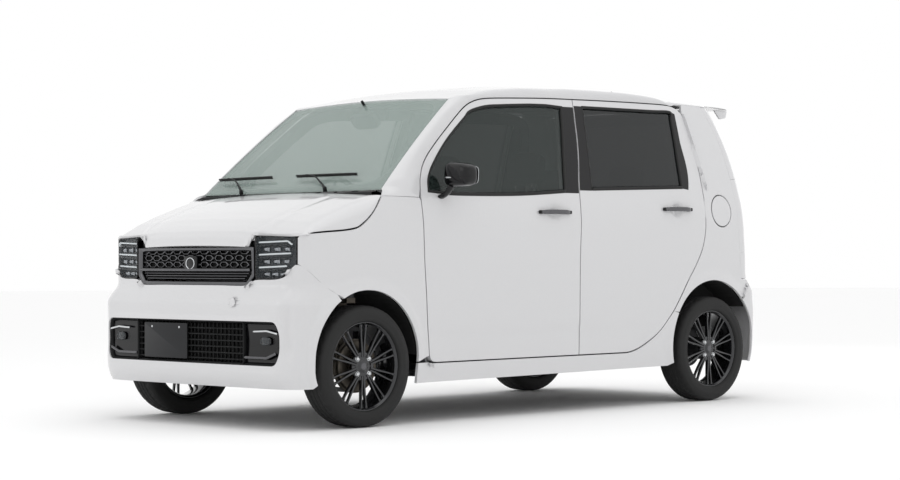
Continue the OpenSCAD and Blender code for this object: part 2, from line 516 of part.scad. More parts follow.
module roof_rail() {
    up = moved(concat(REAR_BACK_TOP, reversed(REAR_TOP), [[-321, 1583]], FRONT_TOP, FRONT_PILLAR, [FRONT_LEADING[0]]), panel_gap);
    low = [[1108, 1068], [1040, 1068], [950, 1066], [880, 1065]];
    pillar = reversed(slice(up, 13, 22));
    roof = reversed(slice(up, 2, 12));
    outer = concat(low, pillar, roof, [[-1150, 1597.6], [-1200, 1598], [-1300, 1598], [-1400, 1596], [-1452, 1594]]);
    t = concat([0, 0.01, 0.02, 0.03], [for (i = [0:9]) lerp(0.06, 0.985, i / 9)]);
    xs = [536, 420, 300, 170, 40, -110, -230, -420, -620, -840, -1000, -1110, -1200, -1300, -1400, -1456];
    inner = concat([for (k = t) screen_point(1, k) + [0, seam, 0]], [for (x = xs) [x, roof_y(x), roof_z(x, roof_y(x))]]);
    o = [for (q = outer) under(q[0], q[1], 0)];
    mid = [for (i = [0:len(o) - 1]) let (m = lerp(o[i], inner[i], 0.5), w = norm(o[i] - inner[i]))
        m + 0.13 * w * unit([i < 14 ? 0.5 : 0, 0.75, 0.65])];
    color("white") sheet([inner, mid, o], 0, -10);
}
REAR_BACK_TOP = [[-1215, 1465], [-1154, 1569]];
module roof_rails() { both_sides() roof_rail(); }
module rear_header() {
    x = tail(300, 1584, 40)[0] + 15;
    color("gainsboro") {
        along_y(-420, 420) polygon([[x, 1556], [x + 30, 1556], [x + 30, 1574], [x, 1574]]);
        both_sides() {
            box([tail(300, 1584, 40)[0] + 4.5, 300, 1565], [x - hair, 330, 1568]);
            box([x + 4, 300, 1574 + hair], [x + 26, 330, roof_z(x + 4, 330) - 13.5]);
        }
    }
}
module roof_antenna() {
    x = -1290;
    z = roof_z(x, 0) + 0.9;
    color("black") along_y(-14, 14) polygon([[x + 77, roof_z(x + 77, 0) + 0.7], [x, z], [x - 77, roof_z(x - 77, 0) + 0.7], [x - 60, z + 66], [x - 48, z + 86], [x - 30, z + 78], [x, z + 38], [x + 40, z + 14]]);
}

// ---------- tail ----------

gate_bottom = 652 + 6;
module tailgate() {
    g = gate_a - panel_gap - 2;
    outer = half_to_full([[0, 1592], [200, 1592], [400, 1592], [g, 1590], [g, 1480], [g, 1360], [g, 1240], [g, 1120], [g, 1000],
        [g, 860], [g, 740], [g, gate_bottom], [400, gate_bottom], [200, gate_bottom], [0, gate_bottom]]);
    color("white") tail_slab(rows(tail_window, outer, [0, 0.3, 1]), 0, 40, true);
}
tail_window = half_to_full([[0, 1540], [170, 1540], [360, 1540], [480, 1532], [492, 1470], [500, 1390], [508, 1310], [514, 1230],
    [518, 1160], [512, 1120], [480, 1104], [400, 1100], [260, 1098], [130, 1096], [0, 1096]]);
module tailgate_glass() {
    side = [[478, 1530], [490, 1470], [498.5, 1390], [506.5, 1310], [512.5, 1230], [516.5, 1160], [510.5, 1122],
        [478, 1106]];
    g = [for (j = [0:7]) [for (k = [-4:4]) [side[j][0] * k / 4,
        side[j][1] + (j == 0 ? 8.8 : j == 7 ? -8.8 : 0) * (1 - sq(k / 4))]]];
    color([0.15, 0.15, 0.15, 0.7]) tail_slab(g, 8, 8 + glass_t);
}
module roof_spoiler() {
    f = [-560, -540, -380, -190, 0, 190, 380, 540, 560];
    function top_z(y, x) = roof_z(-1456, y) + 1 - 0.012 * (-1456 - x);
    g = [for (y = f) let (e = abs(y) > 550 ? 1 : 0, zt = top_z(y, 0), xs = -1462)
        [[xs, y, roof_z(-1456, y)], [-1560, y, roof_z(-1456, y)], [-1650 + 20 * e, y, roof_z(-1456, y) - 4],
         [-1668 + 30 * e, y, roof_z(-1456, y) - 22]]];
    h = [for (y = f) let (e = abs(y) > 550 ? 1 : 0)
        [[-1462, y, 1602], [-1540, y, 1600], [-1640 + 20 * e, y, 1590], [-1662 + 30 * e, y, 1588]]];
    color("white") {
        slab(g, h);
        both_sides() box([-1474, 300, 1587.5], [-1467, 330, 1610]);
        both_sides() along_y(534, 546) polygon([[-1550, 1586], [-1640, 1586], [-1664, 1588], [-1650, 1545], [-1600, 1536]]);
    }
}
module rear_plate() {
    x = tail(0, 930, 0)[0];
    color("whitesmoke") along_x(x - 14, x - 9) difference() {
        polygon([[-165, 850], [165, 850], [165, 1015], [-165, 1015]]);
        for (s = [-105, 105]) translate([s, 995]) circle(r = 3.5);
    }
    color("dimgray") along_x(x - 8.6, x - 3.3) polygon([[-60, 900], [60, 900], [60, 910], [-60, 910]]);
}
module tail_light() {
    zs = [LAMP_Z[0], 870, 940, 1000, 1060, 1130, LAMP_Z[1]];
    g = [for (z = zs) [for (k = [0:5]) let (a = tail_u(gate_a + seam, z), b = tail_start(z) + lamp_front) [lerp(a, b, k / 5), z]]];
    color("firebrick") side_slab(g, 0, 48);
}
module tail_lights() { both_sides() tail_light(); }
module rear_bumper() {
    b = [-1, -0.86, -0.8, -0.74, -0.68, -0.5, -0.25, 0, 0.25, 0.5, 0.68, 0.74, 0.8, 0.86, 1];
    function rim(s, z) = let (k = abs(s), e = -tail_end(z) + wing_u(z)) (s < 0 ? -1 : 1) * (k < 0.68 ? k / 0.68 * 600 :
        lerp(600, e, (k - 0.68) / 0.32));
    // the front edge of the wings follows the wheel arch
    function wing_u(z) = z > 560 ? lerp(-1562, -1640, ramp(z, 560, 640)) : arch_r[0] - sqrt(sq(rear_arch_r) - sq(z - arch_r[1]));
    zs = [skirt_z + 10, 260, 350, 450, 540, 590, 618, 650];
    color("white") slab([for (z = zs) [for (s = b) tail(rim(s, z), z, 0)]], [for (z = zs) [for (s = b) tail(rim(s, z), z, panel_t)]]);
}

// ---------- floor, body structure, engine ----------

module floor_pan() {
    color("gray") {
        along_y(-645, 645) polygon([[887, floor_top - 20], [-905, floor_top - 20], [-905, 440], [-885, 440], [-885, floor_top],
            [887, floor_top]]);
        along_y(-537.6, 537.6) polygon([[-905 - hair, 400], [-1640, 400], [-1640, 416], [-905 - hair, 416]]);
        both_sides() box([-900, 645 + hair, floor_top - 20], [870, 694, floor_top - hair]);
        // tow loop under the tail
        difference() {
            box([-1622, 340, 188], [-1578, 352, 400 - hair]);
            translate([-1600, 330, 212]) rotate([-90, 0, 0]) cylinder(h = 40, r = 14);
        }
    }
}
module bulkhead() {
    color("gainsboro") {
        box([879, -640, floor_top + hair], [887, 640, 1026]);
        box([887 + hair, -640, 1012], [985, 640, 1026]);
    }
}
module cowl() {
    color("black") along_y(-640, 640)
        polygon([[985.4, 1012], [1150, 1012], [1150, 1030], [1109, 1046], [1109, 1088], [1070, 1090], [1000, 1070], [985.4, 1060]]);
}
module wipers() {
    color("black") box([1076, -30, 1090.2], [1081, 30, 1094.2]);
    color("black") for (y = [-330, 300]) {
        rod([1101, y, 1089.2], [1101, y, 1116], 6);
        q = screen_point((y - 230) / 663, 0.18) + [16, 0, 22];
        rod([1101, y, 1113], q, 4.5);
        rod(screen_point((y + 150) / 663, 0.13) + [13, 0, 17], screen_point((y - 290) / 663, 0.13) + [13, 0, 17], 4.5);
    }
}
module dashboard() {
    color("dimgray") {
        along_y(-636, 636) polygon(rounded([[878.6, 720], [878.6, 1056], [760, 1072], [610, 1046], [590, 960], [640, 800], [760, 720]], 30));
        along_y(-636, 636) polygon([[820, 1026.6], [980, 1026.6], [980, 1040], [820, 1058]]);
        rod([604, -340, 985], [458.4, -340, 1013.4], 32);
    }
}
module steering_wheel() {
    color("black") translate([440, -340, 1017]) rotate([0, -79, 0]) {
        rotate_extrude() translate([178, 0]) circle(r = 15);
        cylinder(h = 36, r = 60, center = true);
        for (a = [0, 120, 240]) rotate([0, 0, a]) translate([50, -14, -7]) cube([122, 28, 14]);
    }
}
module seat(y, w) {
    along_y(y - w / 2, y + w / 2) polygon(rounded([[-120, 420], [360, 440], [400, 480], [392, 575], [330, 596], [-100, 566]], 30));
    along_y(y - w / 2 + 12, y + w / 2 - 12) polygon(rounded([[-84, 560], [-206, 1130], [-300, 1126], [-306, 1040], [-214, 540], [-150, 470], [-110, 470]], 16));
    along_y(y - 125, y + 125) polygon(rounded([[-222, 1160], [-252, 1322], [-330, 1312], [-318, 1150]], 24));
    for (d = [-60, 60]) rod([-262, y + d, 1126], [-266, y + d, 1156], 6);
    for (d = [-190, 190]) box([-60, y + d - 20, floor_top + hair], [340, y + d + 20, 424]);
}
module front_seats() { color("dimgray") both_sides() seat(310, 480); }
module rear_seat() {
    color("dimgray") {
        along_y(-510, 510) polygon(rounded([[-910, 441], [-860, 441], [-480, 430], [-450, 470], [-460, 560], [-520, 580], [-930, 560]], 20));
        along_y(-510, 510) polygon(rounded([[-890, 540], [-1060, 1110], [-1140, 1106], [-1030, 520], [-975, 417.6], [-908, 417.6], [-906, 446]], 6));
        for (y = [-270, 270]) {
            along_y(y - 115, y + 115) polygon(rounded([[-1075, 1124], [-1098, 1270], [-1168, 1262], [-1150, 1120]], 20));
            for (d = [-50, 50]) rod([-1112, y + d, 1106], [-1116, y + d, 1126], 6);
        }
        both_sides() box([-800, 400, floor_top + hair], [-500, 440, 434]);
    }
}
module engine_block() {
    color("silver") {
        box([950, -330, 330], [1400, 330, 800]);
        box([1000, -260, 800 + hair], [1330, 250, 880]);
        box([990, 330 + hair, 690], [1120, 470, 830]);
        box([1440, -344.6, 330], [1490, 344.6, 740]);
        both_sides() box([1100, 330 + hair, 440], [1180, 344.6, 500]);
    }
}
module front_frame() {
    color("gainsboro") {
        both_sides() box([887 + hair, 345, 430], [1592, 395, 520]);
        both_sides() box([887 + hair, 345, floor_top - 20], [930, 395, 430 - hair]);
        along_x(1592 + hair, 1612) difference() {
            polygon([[-560, 300], [560, 300], [560, 630], [430, 660], [430, 820], [-430, 820], [-430, 660], [-560, 630]]);
            polygon([[-400, 330], [400, 330], [400, 780], [-400, 780]]);
        }
        both_sides() box([1612 + hair, 480, 530], [nose(520, 540, panel_t)[0] - 10, 520, 556]);
        both_sides() box([887 + hair, 560, 846], [1480, 590, 880]);
        // rubber buffers that carry the bonnet
        p = bonnet_point(0.8, 0.6);
        both_sides() rod([p[0] - 2, p[1] - 4, 862], [p[0] - 2, p[1] - 4, p[2] - 16], 3);
        both_sides() box([p[0] - 16, 589, 850], [p[0] + 12, p[1] + 4, 864]);
    }
}
module arch_liner(c, r, y0, y1, a0, a1) {
    n = 24;
    along_y(y0, y1) polygon(concat(arc(c, r + 3, a0, a1, n), arc(c, r + 9, a1, a0, n)));
}
module arch_liners() {
    color("black") {
        both_sides() difference() {
            arch_liner(arch_f, front_arch_r, 420, half_width - panel_t - 14, 8, 178);
            translate([axle_f, kingpin_y, 500]) cylinder(h = 300, r = 62);
        }
        both_sides() arch_liner(arch_r, rear_arch_r, 545, half_width - panel_t - 12, 12, 146);
        both_sides() along_y(538, 545 - hair) polygon(arc(arch_r, rear_arch_r + 9, 14, 166, 20));
        // strut towers, standing on the liners
        both_sides() translate([axle_f, kingpin_y, arch_f[1] + front_arch_r + 9.4]) difference() {
            cylinder(h = 846 - hair - (arch_f[1] + front_arch_r + 9.4), r = 78);
            translate([0, 0, -1]) cylinder(h = 180, r = 66);
        }
    }
}
module front_suspension() {
    color("dimgray") {
        both_sides() {
            rod([axle_f, kingpin_y, 595.4], [axle_f, kingpin_y, arch_f[1] + front_arch_r + 9.4 + 178.6], 24);
            rod([axle_f, kingpin_y, 640], [axle_f, kingpin_y, 652], 60);
            rod([axle_f, kingpin_y, 175.6], [axle_f, kingpin_y, 190], 13);
            along_z_arm();
        }
        box([axle_f - 60, -345.6, 200], [axle_f + 40, 345.6, 240]);
        both_sides() box([axle_f - 40, 346, 176], [axle_f + 20, 394, 429.6]);
    }
}
module along_z_arm() {
    translate([0, 0, 160]) linear_extrude(15.6) polygon([[axle_f - 14, kingpin_y + 14], [axle_f - 26, kingpin_y - 20], [axle_f - 60, 346],
        [axle_f + 40, 346], [axle_f + 26, kingpin_y - 20], [axle_f + 14, kingpin_y + 14]]);
}
module rear_axle() {
    color("dimgray") {
        rod([axle_r + 110, -480, tyre_r], [axle_r + 110, 480, tyre_r], 32);
        both_sides() {
            box([axle_r - 30, 480 + hair, tyre_r - 30], [axle_r + 370, 520, tyre_r + 30]);
            box([axle_r + 330, 480 + hair, tyre_r + 30 + hair], [axle_r + 370, 520, 400 - hair]);
            rod([axle_r, 520 + hair, tyre_r], [axle_r, 566, tyre_r], 100);
            rod([axle_r, 566 + hair, tyre_r], [axle_r, wheel_y + 35.5, tyre_r], 60);
            rod([axle_r, wheel_y + 35.5, tyre_r], [axle_r, wheel_y + 52, tyre_r], 27.95);
        }
    }
}
module exhaust() {
    color("silver") {
        rod([-1480, -250, 300], [-1480, 250, 300], 70);
        rod([-1510, 200, 269], [-1655, 200, 262], 22);
        rod([-1450, -120, 275], [-1290, -120, 196], 22);
        rod([-1318, -120, 190], [-1270, -120, 190], 32);
        rod([-1290, -120, 190], [950, -120, 190], 22);
        for (x = [-700, 0, 700]) box([x - 10, -126, 212.4], [x + 10, -114, floor_top - 20.4]);
        for (y = [-160, 160]) box([-1490, y - 12, 370.4], [-1470, y + 12, 400 - hair]);
    }
}

// ---------- wheels ----------

module tyre(s) {
    w = tyre_w / 2;
    profile = [[rim_r + 0.5, -w + 12], [rim_r + 8, -w + 3], [rim_r + 34, -w], [tyre_r - 16, -w + 5], [tyre_r - 4, -w + 18],
        [tyre_r, -w + 36], [tyre_r, w - 36], [tyre_r - 4, w - 18], [tyre_r - 16, w - 5], [rim_r + 34, w],
        [rim_r + 8, w - 3], [rim_r + 0.5, w - 12]];
    color("black") rotate([-90, 0, 0]) rotate_extrude($fn = 96) polygon(profile);
}
module rim() {
    w = tyre_w / 2;
    color("dimgray") rotate([-90, 0, 0]) {
        rotate_extrude($fn = 96) polygon([[rim_r, -w + 14], [rim_r, w - 14], [rim_r - 12, w - 14], [rim_r - 20, w - 40], [rim_r - 20, -w + 30],
            [rim_r - 12, -w + 14]]);
        difference() {
            union() {
                translate([0, 0, 36]) cylinder(h = 24, r = 68);
                for (i = [0:9]) rotate([0, 0, i * 36]) translate([60, 0, 38]) linear_extrude(18)
                    polygon([[0, -17], [rim_r - 76, -9], [rim_r - 76, 9], [0, 17]]);
            }
            translate([0, 0, 30]) cylinder(h = 40, r = 28);
            for (i = [0:3]) rotate([0, 0, 45 + i * 90]) translate([50, 0, 30]) cylinder(h = 40, r = 6.5);
        }
    }
}
module at_wheel(x, y) { translate([x, y, tyre_r]) mirror([0, y < 0 ? 1 : 0, 0]) children(); }
module tyre_front_left() { at_wheel(axle_f, wheel_y) tyre(); }
module tyre_front_right() { at_wheel(axle_f, -wheel_y) tyre(); }
module tyre_rear_left() { at_wheel(axle_r, wheel_y) tyre(); }
module tyre_rear_right() { at_wheel(axle_r, -wheel_y) tyre(); }
module rim_front_left() { at_wheel(axle_f, wheel_y) rim(); }
module rim_front_right() { at_wheel(axle_f, -wheel_y) rim(); }
module rim_rear_left() { at_wheel(axle_r, wheel_y) rim(); }
module rim_rear_right() { at_wheel(axle_r, -wheel_y) rim(); }

// Steered hub carrier: disc and spigot for the rim, and an upright round the tyre to the strut.
module knuckle() {
    color("dimgray") {
        rod([axle_f, kingpin_y - 40, tyre_r], [axle_f, wheel_y + 52, tyre_r], 27.95);
        rod([axle_f, kingpin_y + 30, tyre_r], [axle_f, wheel_y + 35.5, tyre_r], 60);
        rod([axle_f, kingpin_y + 26, tyre_r], [axle_f, kingpin_y + 38, tyre_r], 125);
        translate([axle_f - 26, kingpin_y - 70, 0]) {
            translate([0, 0, 230]) cube([52, 24, 365]);
            translate([0, 0, 571]) cube([52, 84, 24]);
        }
        rod([axle_f, kingpin_y - 60, tyre_r], [axle_f, kingpin_y - 30, tyre_r], 60);
        rod([axle_f, kingpin_y, 190.5], [axle_f, kingpin_y, 260], 13);
        box([axle_f - 20, kingpin_y - 60, 225], [axle_f + 20, kingpin_y + 10, 262]);
    }
}
module knuckle_left() { knuckle(); }
module knuckle_right() { mirror([0, 1, 0]) knuckle(); }

// ---------- mirrors ----------

// Door mirror: housing on a foot that stands on the door just under the window.
module door_mirror() {
    y = side_y(735, 1058) + 0.5;
    color("black") {
        along_x(655, 760) polygon(rounded([[748, 1112], [900, 1120], [914, 1205], [892, 1232], [760, 1228], [740, 1200]], 22));
        along_x(712, 758) polygon([[y, 1058], [752, 1066], [790, 1116], [756, 1126], [y, 1081]]);
    }
}
module door_mirror_left() { door_mirror(); }
module door_mirror_right() { mirror([0, 1, 0]) door_mirror(); }

floor_pan();
side_frames();
roof_rails();
rear_quarters();
roof_panel();
front_fenders();
side_skirts();
front_bumper();
rear_bumper();
front_grille();
bumper_grille();
headlights();
tail_lights();
windscreen();
wipers();
cowl();
dashboard();
front_seats();
rear_seat();
bulkhead();
engine_block();
rear_axle();
front_suspension();
exhaust();
front_plate();
arch_liners();
roof_antenna();
front_frame();
front_door_left();
front_door_right();
rear_door_left();
rear_door_right();
front_glass_left();
front_glass_right();
rear_glass_left();
rear_glass_right();
door_mirror_left();
door_mirror_right();
tailgate();
tailgate_glass();
roof_spoiler();
rear_plate();
bonnet();
fuel_lid();
knuckle_left();
knuckle_right();
tyre_front_left();
tyre_front_right();
tyre_rear_left();
tyre_rear_right();
rim_front_left();
rim_front_right();
rim_rear_left();
rim_rear_right();
steering_wheel();
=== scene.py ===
"""Finished look of a kei car, a tall five-door light passenger car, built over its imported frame.

Every shape is a surface of two parameters worked out in millimetres and put into a mesh in metres.
The body panels all lie on one outer skin, so their seams meet as the real pressings' do.
"""

import logging
import math
from dataclasses import dataclass, field
from enum import Enum
from typing import Callable, Optional, Sequence

import bmesh
import bpy
import numpy as np
from mathutils import Matrix, Vector


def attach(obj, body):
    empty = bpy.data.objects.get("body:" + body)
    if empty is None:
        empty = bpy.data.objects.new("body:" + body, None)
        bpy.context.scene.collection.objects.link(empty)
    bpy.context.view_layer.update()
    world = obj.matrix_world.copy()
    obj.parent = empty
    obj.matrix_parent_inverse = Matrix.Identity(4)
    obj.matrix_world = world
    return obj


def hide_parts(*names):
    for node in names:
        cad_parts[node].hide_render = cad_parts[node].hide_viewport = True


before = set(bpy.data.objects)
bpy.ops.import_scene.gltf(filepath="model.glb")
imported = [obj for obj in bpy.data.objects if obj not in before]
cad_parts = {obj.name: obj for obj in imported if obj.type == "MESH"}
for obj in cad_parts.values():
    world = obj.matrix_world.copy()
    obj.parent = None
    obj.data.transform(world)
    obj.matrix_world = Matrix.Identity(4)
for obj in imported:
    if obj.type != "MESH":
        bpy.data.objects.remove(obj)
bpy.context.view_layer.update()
MM = 0.001
LOG = logging.getLogger("kei_car")
Array = np.ndarray
Line = Sequence[Sequence[float]]


class Side(Enum):
    """Side of the car; the value multiplies Y."""

    LEFT = 1
    RIGHT = -1


class Face(Enum):
    """Face of the skin that a pair of numbers is laid on."""

    SIDE = "side"
    NOSE = "nose"
    TAIL = "tail"


# ---------------------------------------------------------------- curves


def ramp(v: Array, low: float, high: float) -> Array:
    """Smooth step: 3t^2 - 2t^3 of the share t of the way from low to high."""
    t = np.clip((np.asarray(v, float) - low) / (high - low), 0, 1)
    return t * t * (3 - 2 * t)


def lerp(a: Array, b: Array, t: Array) -> Array:
    """Straight mix of a and b."""
    return a + (b - a) * t


def catmull(a: Array, b: Array, c: Array, d: Array, t: Array) -> Array:
    """Catmull-Rom cubic between b and c, with tangents (c - a) / 2 and (d - b) / 2."""
    return 0.5 * (2 * b + (c - a) * t + (2 * a - 5 * b + 4 * c - d) * t**2 + (3 * b - a - 3 * c + d) * t**3)


def graph(points: Line, v: Array) -> Array:
    """Value at v of the smooth curve through (v, value) pairs, held level past both ends."""
    p = np.asarray(points, float)
    v = np.clip(np.asarray(v, float), p[0, 0], p[-1, 0])
    i = np.clip(np.searchsorted(p[:, 0], v) - 1, 0, len(p) - 2)
    t = (v - p[i, 0]) / (p[i + 1, 0] - p[i, 0])
    y = p[:, 1]
    return catmull(y[np.maximum(i - 1, 0)], y[i], y[i + 1], y[np.minimum(i + 2, len(p) - 1)], t)


def smooth_line(points: Line, per: int) -> Array:
    """Catmull-Rom curve through the points, with per steps between neighbours.

    Args:
        points: the points the curve passes through.
        per: steps from each point to the next.

    Returns:
        An array of (len(points) - 1) * per + 1 points.
    """
    p = np.asarray(points, float)
    if len(p) == 1:
        return p
    q = np.linspace(0, len(p) - 1, (len(p) - 1) * per + 1)
    i = np.minimum(q.astype(int), len(p) - 2)
    t = (q - i)[:, None]
    return catmull(p[np.maximum(i - 1, 0)], p[i], p[i + 1], p[np.minimum(i + 2, len(p) - 1)], t)


def linked(parts: Sequence[Line], per: int, closed: bool = False) -> Array:
    """Smooth parts joined by straight links, every step of the original points split into per.

    Args:
        parts: the smooth parts, in order; corners lie between them.
        per: steps for each original interval, links included.
        closed: whether the last part links back to the first.

    Returns:
        One line; a closed one leaves its first point off the end.
    """
    out = []
    for k, part in enumerate(parts):
        out.append(smooth_line(part, per))
        if k < len(parts) - 1 or closed:
            a, b = np.asarray(part[-1], float), np.asarray(parts[(k + 1) % len(parts)][0], float)
            out.append(lerp(a, b, (np.arange(1, per) / per)[:, None]))
    return np.concatenate(out)


def even(points: Line, count: int) -> Array:
    """The polyline resampled at count evenly spaced points, ends included."""
    p = np.asarray(points, float)
    s = np.concatenate([[0], np.cumsum(np.linalg.norm(np.diff(p, axis=0), axis=1))])
    at = np.linspace(0, s[-1], count)
    return np.stack([np.interp(at, s, p[:, k]) for k in range(p.shape[1])], axis=1)


def offset(points: Line, d: float, closed: bool = False) -> Array:
    """The line moved to its left by d: p + d (a + b) / (1 + a.b) for the unit normals a, b."""
    p = np.asarray(points, float)
    q = np.concatenate([p[-1:], p, p[:1]]) if closed else p
    u = np.diff(q, axis=0)
    u = u / np.maximum(1e-6, np.linalg.norm(u, axis=1))[:, None]
    n = np.stack([-u[:, 1], u[:, 0]], axis=1)
    a = n[:-1] if closed else np.concatenate([n[:1], n])
    b = n[1:] if closed else np.concatenate([n, n[-1:]])
    return p + d * (a + b) / (1 + np.sum(a * b, axis=1))[:, None]


def arc(centre: Sequence[float], radius: float, start: float, end: float, count: int) -> Array:
    """count points on a circle arc, angles in degrees."""
    a = np.radians(np.linspace(start, end, count))
    return np.asarray(centre, float) + radius * np.stack([np.cos(a), np.sin(a)], axis=1)


def rounded(points: Line, radius: float, steps: int = 5) -> Array:
    """Closed outline with each corner replaced by a quadratic curve that starts and ends radius from it."""
    p = np.asarray(points, float)
    a, c = np.roll(p, 1, axis=0), np.roll(p, -1, axis=0)
    la, lc = np.linalg.norm(a - p, axis=1), np.linalg.norm(c - p, axis=1)
    k = np.minimum(radius, 0.45 * np.minimum(la, lc))[:, None]
    s, e = p + k * (a - p) / la[:, None], p + k * (c - p) / lc[:, None]
    t = np.linspace(0, 1, steps + 1)[None, :, None]
    out = (1 - t) ** 2 * s[:, None] + 2 * t * (1 - t) * p[:, None] + t**2 * e[:, None]
    return out.reshape(-1, 2)


def both_halves(half: Array) -> Array:
    """Closed line from a half that starts and ends on the centreline; the other half is its mirror image."""
    other = half[-2:0:-1] * np.array([-1, 1])
    return np.concatenate([half, other])


def between(a: Array, b: Array, shares: Sequence[float]) -> Array:
    """Grid of rows at the given shares of the way from line a to line b."""
    t = np.asarray(shares, float)[:, None, None]
    return a[None] + (b - a)[None] * t


def shares(count: int, edge: float = 0.5) -> Array:
    """Shares from 0 to 1, packed closer at both ends by a sine blend of weight edge."""
    t = np.linspace(0, 1, count)
    return (1 - edge) * t + edge * (0.5 - 0.5 * np.cos(np.pi * t))


# ---------------------------------------------------------------- outer skin


@dataclass(frozen=True)
class Skin:
    """Outer skin of the car, in millimetres: plan curves at every height, from the nose round to the tail."""

    front: float = 1697.5
    rear: float = -1697.5
    half: float = 737.5
    roof: float = 1675.0
    skirt: float = 190.0
    nose_r: float = 110.0
    tail_r: float = 60.0
    tail_bow: float = 0.00004
    arch_f: tuple = (1217.5, 314.0, 318.0)
    arch_r: tuple = (-1302.5, 310.0, 340.0)
    tail_line: tuple = ((190, 18), (260, 2), (420, 0), (590, 4), (665, 44), (760, 50), (910, 62), (1070, 70),
        (1240, 86), (1380, 122), (1510, 178), (1620, 240))
    roof_line: tuple = ((-1460, -38), (-1200, -28), (-800, -7), (-350, 0), (0, -13), (300, -48), (548, -106))
    edge_line: tuple = ((-1460, 536), (-1000, 556), (-350, 566), (200, 568), (536, 571))

    def step(self, z: Array) -> Array:
        """1 on the bumper and 0 above it."""
        return 1 - ramp(z, 565, 665)

    def section(self, z: Array) -> Array:
        """Half width at a height: belly, rounded shoulder at the belt, then tumblehome."""
        return (self.half - 14 * (np.maximum(0, 900 - z) / 600) ** 2 - np.clip(z - 900, 0, 200) ** 2 / 1800
            - 0.222 * np.maximum(0, z - 1100) - 0.0001 * np.maximum(0, z - 1350) ** 2)

    def flare(self, x: Array, z: Array) -> Array:
        """Swell of the arch lips, fading with the distance from each arch circle."""
        f, r = self.arch_f, self.arch_r
        df = np.hypot(x - f[0], z - f[1]) - f[2]
        dr = np.hypot(x - r[0], z - r[1]) - r[2]
        return 11 * (1 - ramp(df, 8, 62)) + 8 * (1 - ramp(dr, 8, 62))

    def side_y(self, x: Array, z: Array) -> Array:
        """Half width of the side: the section, drawn in towards both ends, plus the arch lips."""
        s = self.step(z)
        y = (self.section(z) - np.maximum(0, x - self.front + 997) ** 2 / 21000 * (1 - 0.8 * s)
            - np.maximum(0, self.rear + 797 - x) ** 2 / 32000 * (1 - s) - np.maximum(0, z - 1100) / 450
            * np.maximum(0, x - 100) ** 2 / 10000 + self.flare(x, z))
        return np.minimum(self.half, y)

    def nose_x(self, z: Array) -> Array:
        """Front of the centreline: the bumper stands forward and tucks under at its foot."""
        return self.front - 14 * (1 - self.step(z)) - 26 * (np.maximum(0, self.skirt + 80 - z) / 80) ** 2

    def tail_x(self, z: Array) -> Array:
        """Back of the centreline."""
        return self.rear + graph(self.tail_line, z)

    def nose_bow(self, z: Array) -> Array:
        """Plan curvature of the nose."""
        return lerp(0.00013, 0.00003, self.step(z))

    def nose_start(self, z: Array) -> Array:
        """x where the front corner begins."""
        return self.nose_x(z) - self.nose_r - self.nose_bow(z) * (self.half - self.nose_r) ** 2

    def tail_start(self, z: Array) -> Array:
        """x where the rear corner begins."""
        return self.tail_x(z) + self.tail_r + self.tail_bow * (self.half - 80 - self.tail_r) ** 2

    def nose_end(self, z: Array) -> Array:
        """Length along the plan curve at the centreline of the nose."""
        s = self.nose_start(z)
        return s + self.nose_r * math.pi / 2 + self.side_y(s, z) - self.nose_r

    def tail_end(self, z: Array) -> Array:
        """The same at the tail."""
        s = self.tail_start(z)
        return s - self.tail_r * math.pi / 2 - self.side_y(s, z) + self.tail_r

    def point(self, u: Array, z: Array) -> Array:
        """Point of the skin: x = u on the flat side, then a quarter circle and a shallow parabola.

        Args:
            u: length along the plan curve; it equals x on the side.
            z: height.

        Returns:
            Points with a last axis of 3.
        """
        u, z = np.broadcast_arrays(np.asarray(u, float), np.asarray(z, float))
        ns, ts, r, q = self.nose_start(z), self.tail_start(z), self.nose_r, self.tail_r
        y = self.side_y(np.clip(u, ts, ns), z)
        x = u.copy()
        w, a = self.side_y(ns, z) - r, np.clip((u - ns) / r, 0, math.pi / 2)
        yf = w + r * np.cos(a) - np.maximum(0, u - ns - r * math.pi / 2)
        xf = ns + r * np.sin(a) + self.nose_bow(z) * (w**2 - np.minimum(yf, w) ** 2)
        v, b = self.side_y(ts, z) - q, np.clip((ts - u) / q, 0, math.pi / 2)
        yr = v + q * np.cos(b) - np.maximum(0, ts - u - q * math.pi / 2)
        xr = ts - q * np.sin(b) - self.tail_bow * (v**2 - np.minimum(yr, v) ** 2)
        x = np.where(u > ns, xf, np.where(u < ts, xr, x))
        y = np.where(u > ns, yf, np.where(u < ts, yr, y))
        return np.stack([x, y, z], axis=-1)

    def under(self, u: Array, z: Array, depth: Array) -> Array:
        """Point of the skin moved in by depth along the normal, the cross product of its two slopes."""
        u, z = np.broadcast_arrays(np.asarray(u, float), np.asarray(z, float))
        e = 2.0
        du = self.point(u + e, z) - self.point(u - e, z)
        dz = self.point(u, z + e) - self.point(u, z - e)
        n = np.cross(dz, du)
        n = n / np.linalg.norm(n, axis=-1, keepdims=True)
        return self.point(u, z) - np.asarray(depth, float)[..., None] * n

    def lay(self, face: Face, flat: Array, depth: Array = 0.0, side: Side = Side.LEFT) -> Array:
        """Lays a grid of pairs on the skin.

        Args:
            face: SIDE takes (length along the plan curve, z); the others (distance from the centre, z).
            flat: the pairs, with a last axis of 2.
            depth: how far under the skin, one number or one for each pair.
            side: which side of the car a SIDE grid is on.

        Returns:
            Points in millimetres.
        """
        a, z = flat[..., 0], flat[..., 1]
        depth = np.broadcast_to(np.asarray(depth, float), a.shape)
        if face is Face.SIDE:
            return self.under(a, z, depth) * np.array([1, side.value, 1])
        u = self.nose_end(z) - np.abs(a) if face is Face.NOSE else self.tail_end(z) + np.abs(a)
        p = self.under(u, z, depth)
        p[..., 1] *= np.where(a < 0, -1, 1)
        return p

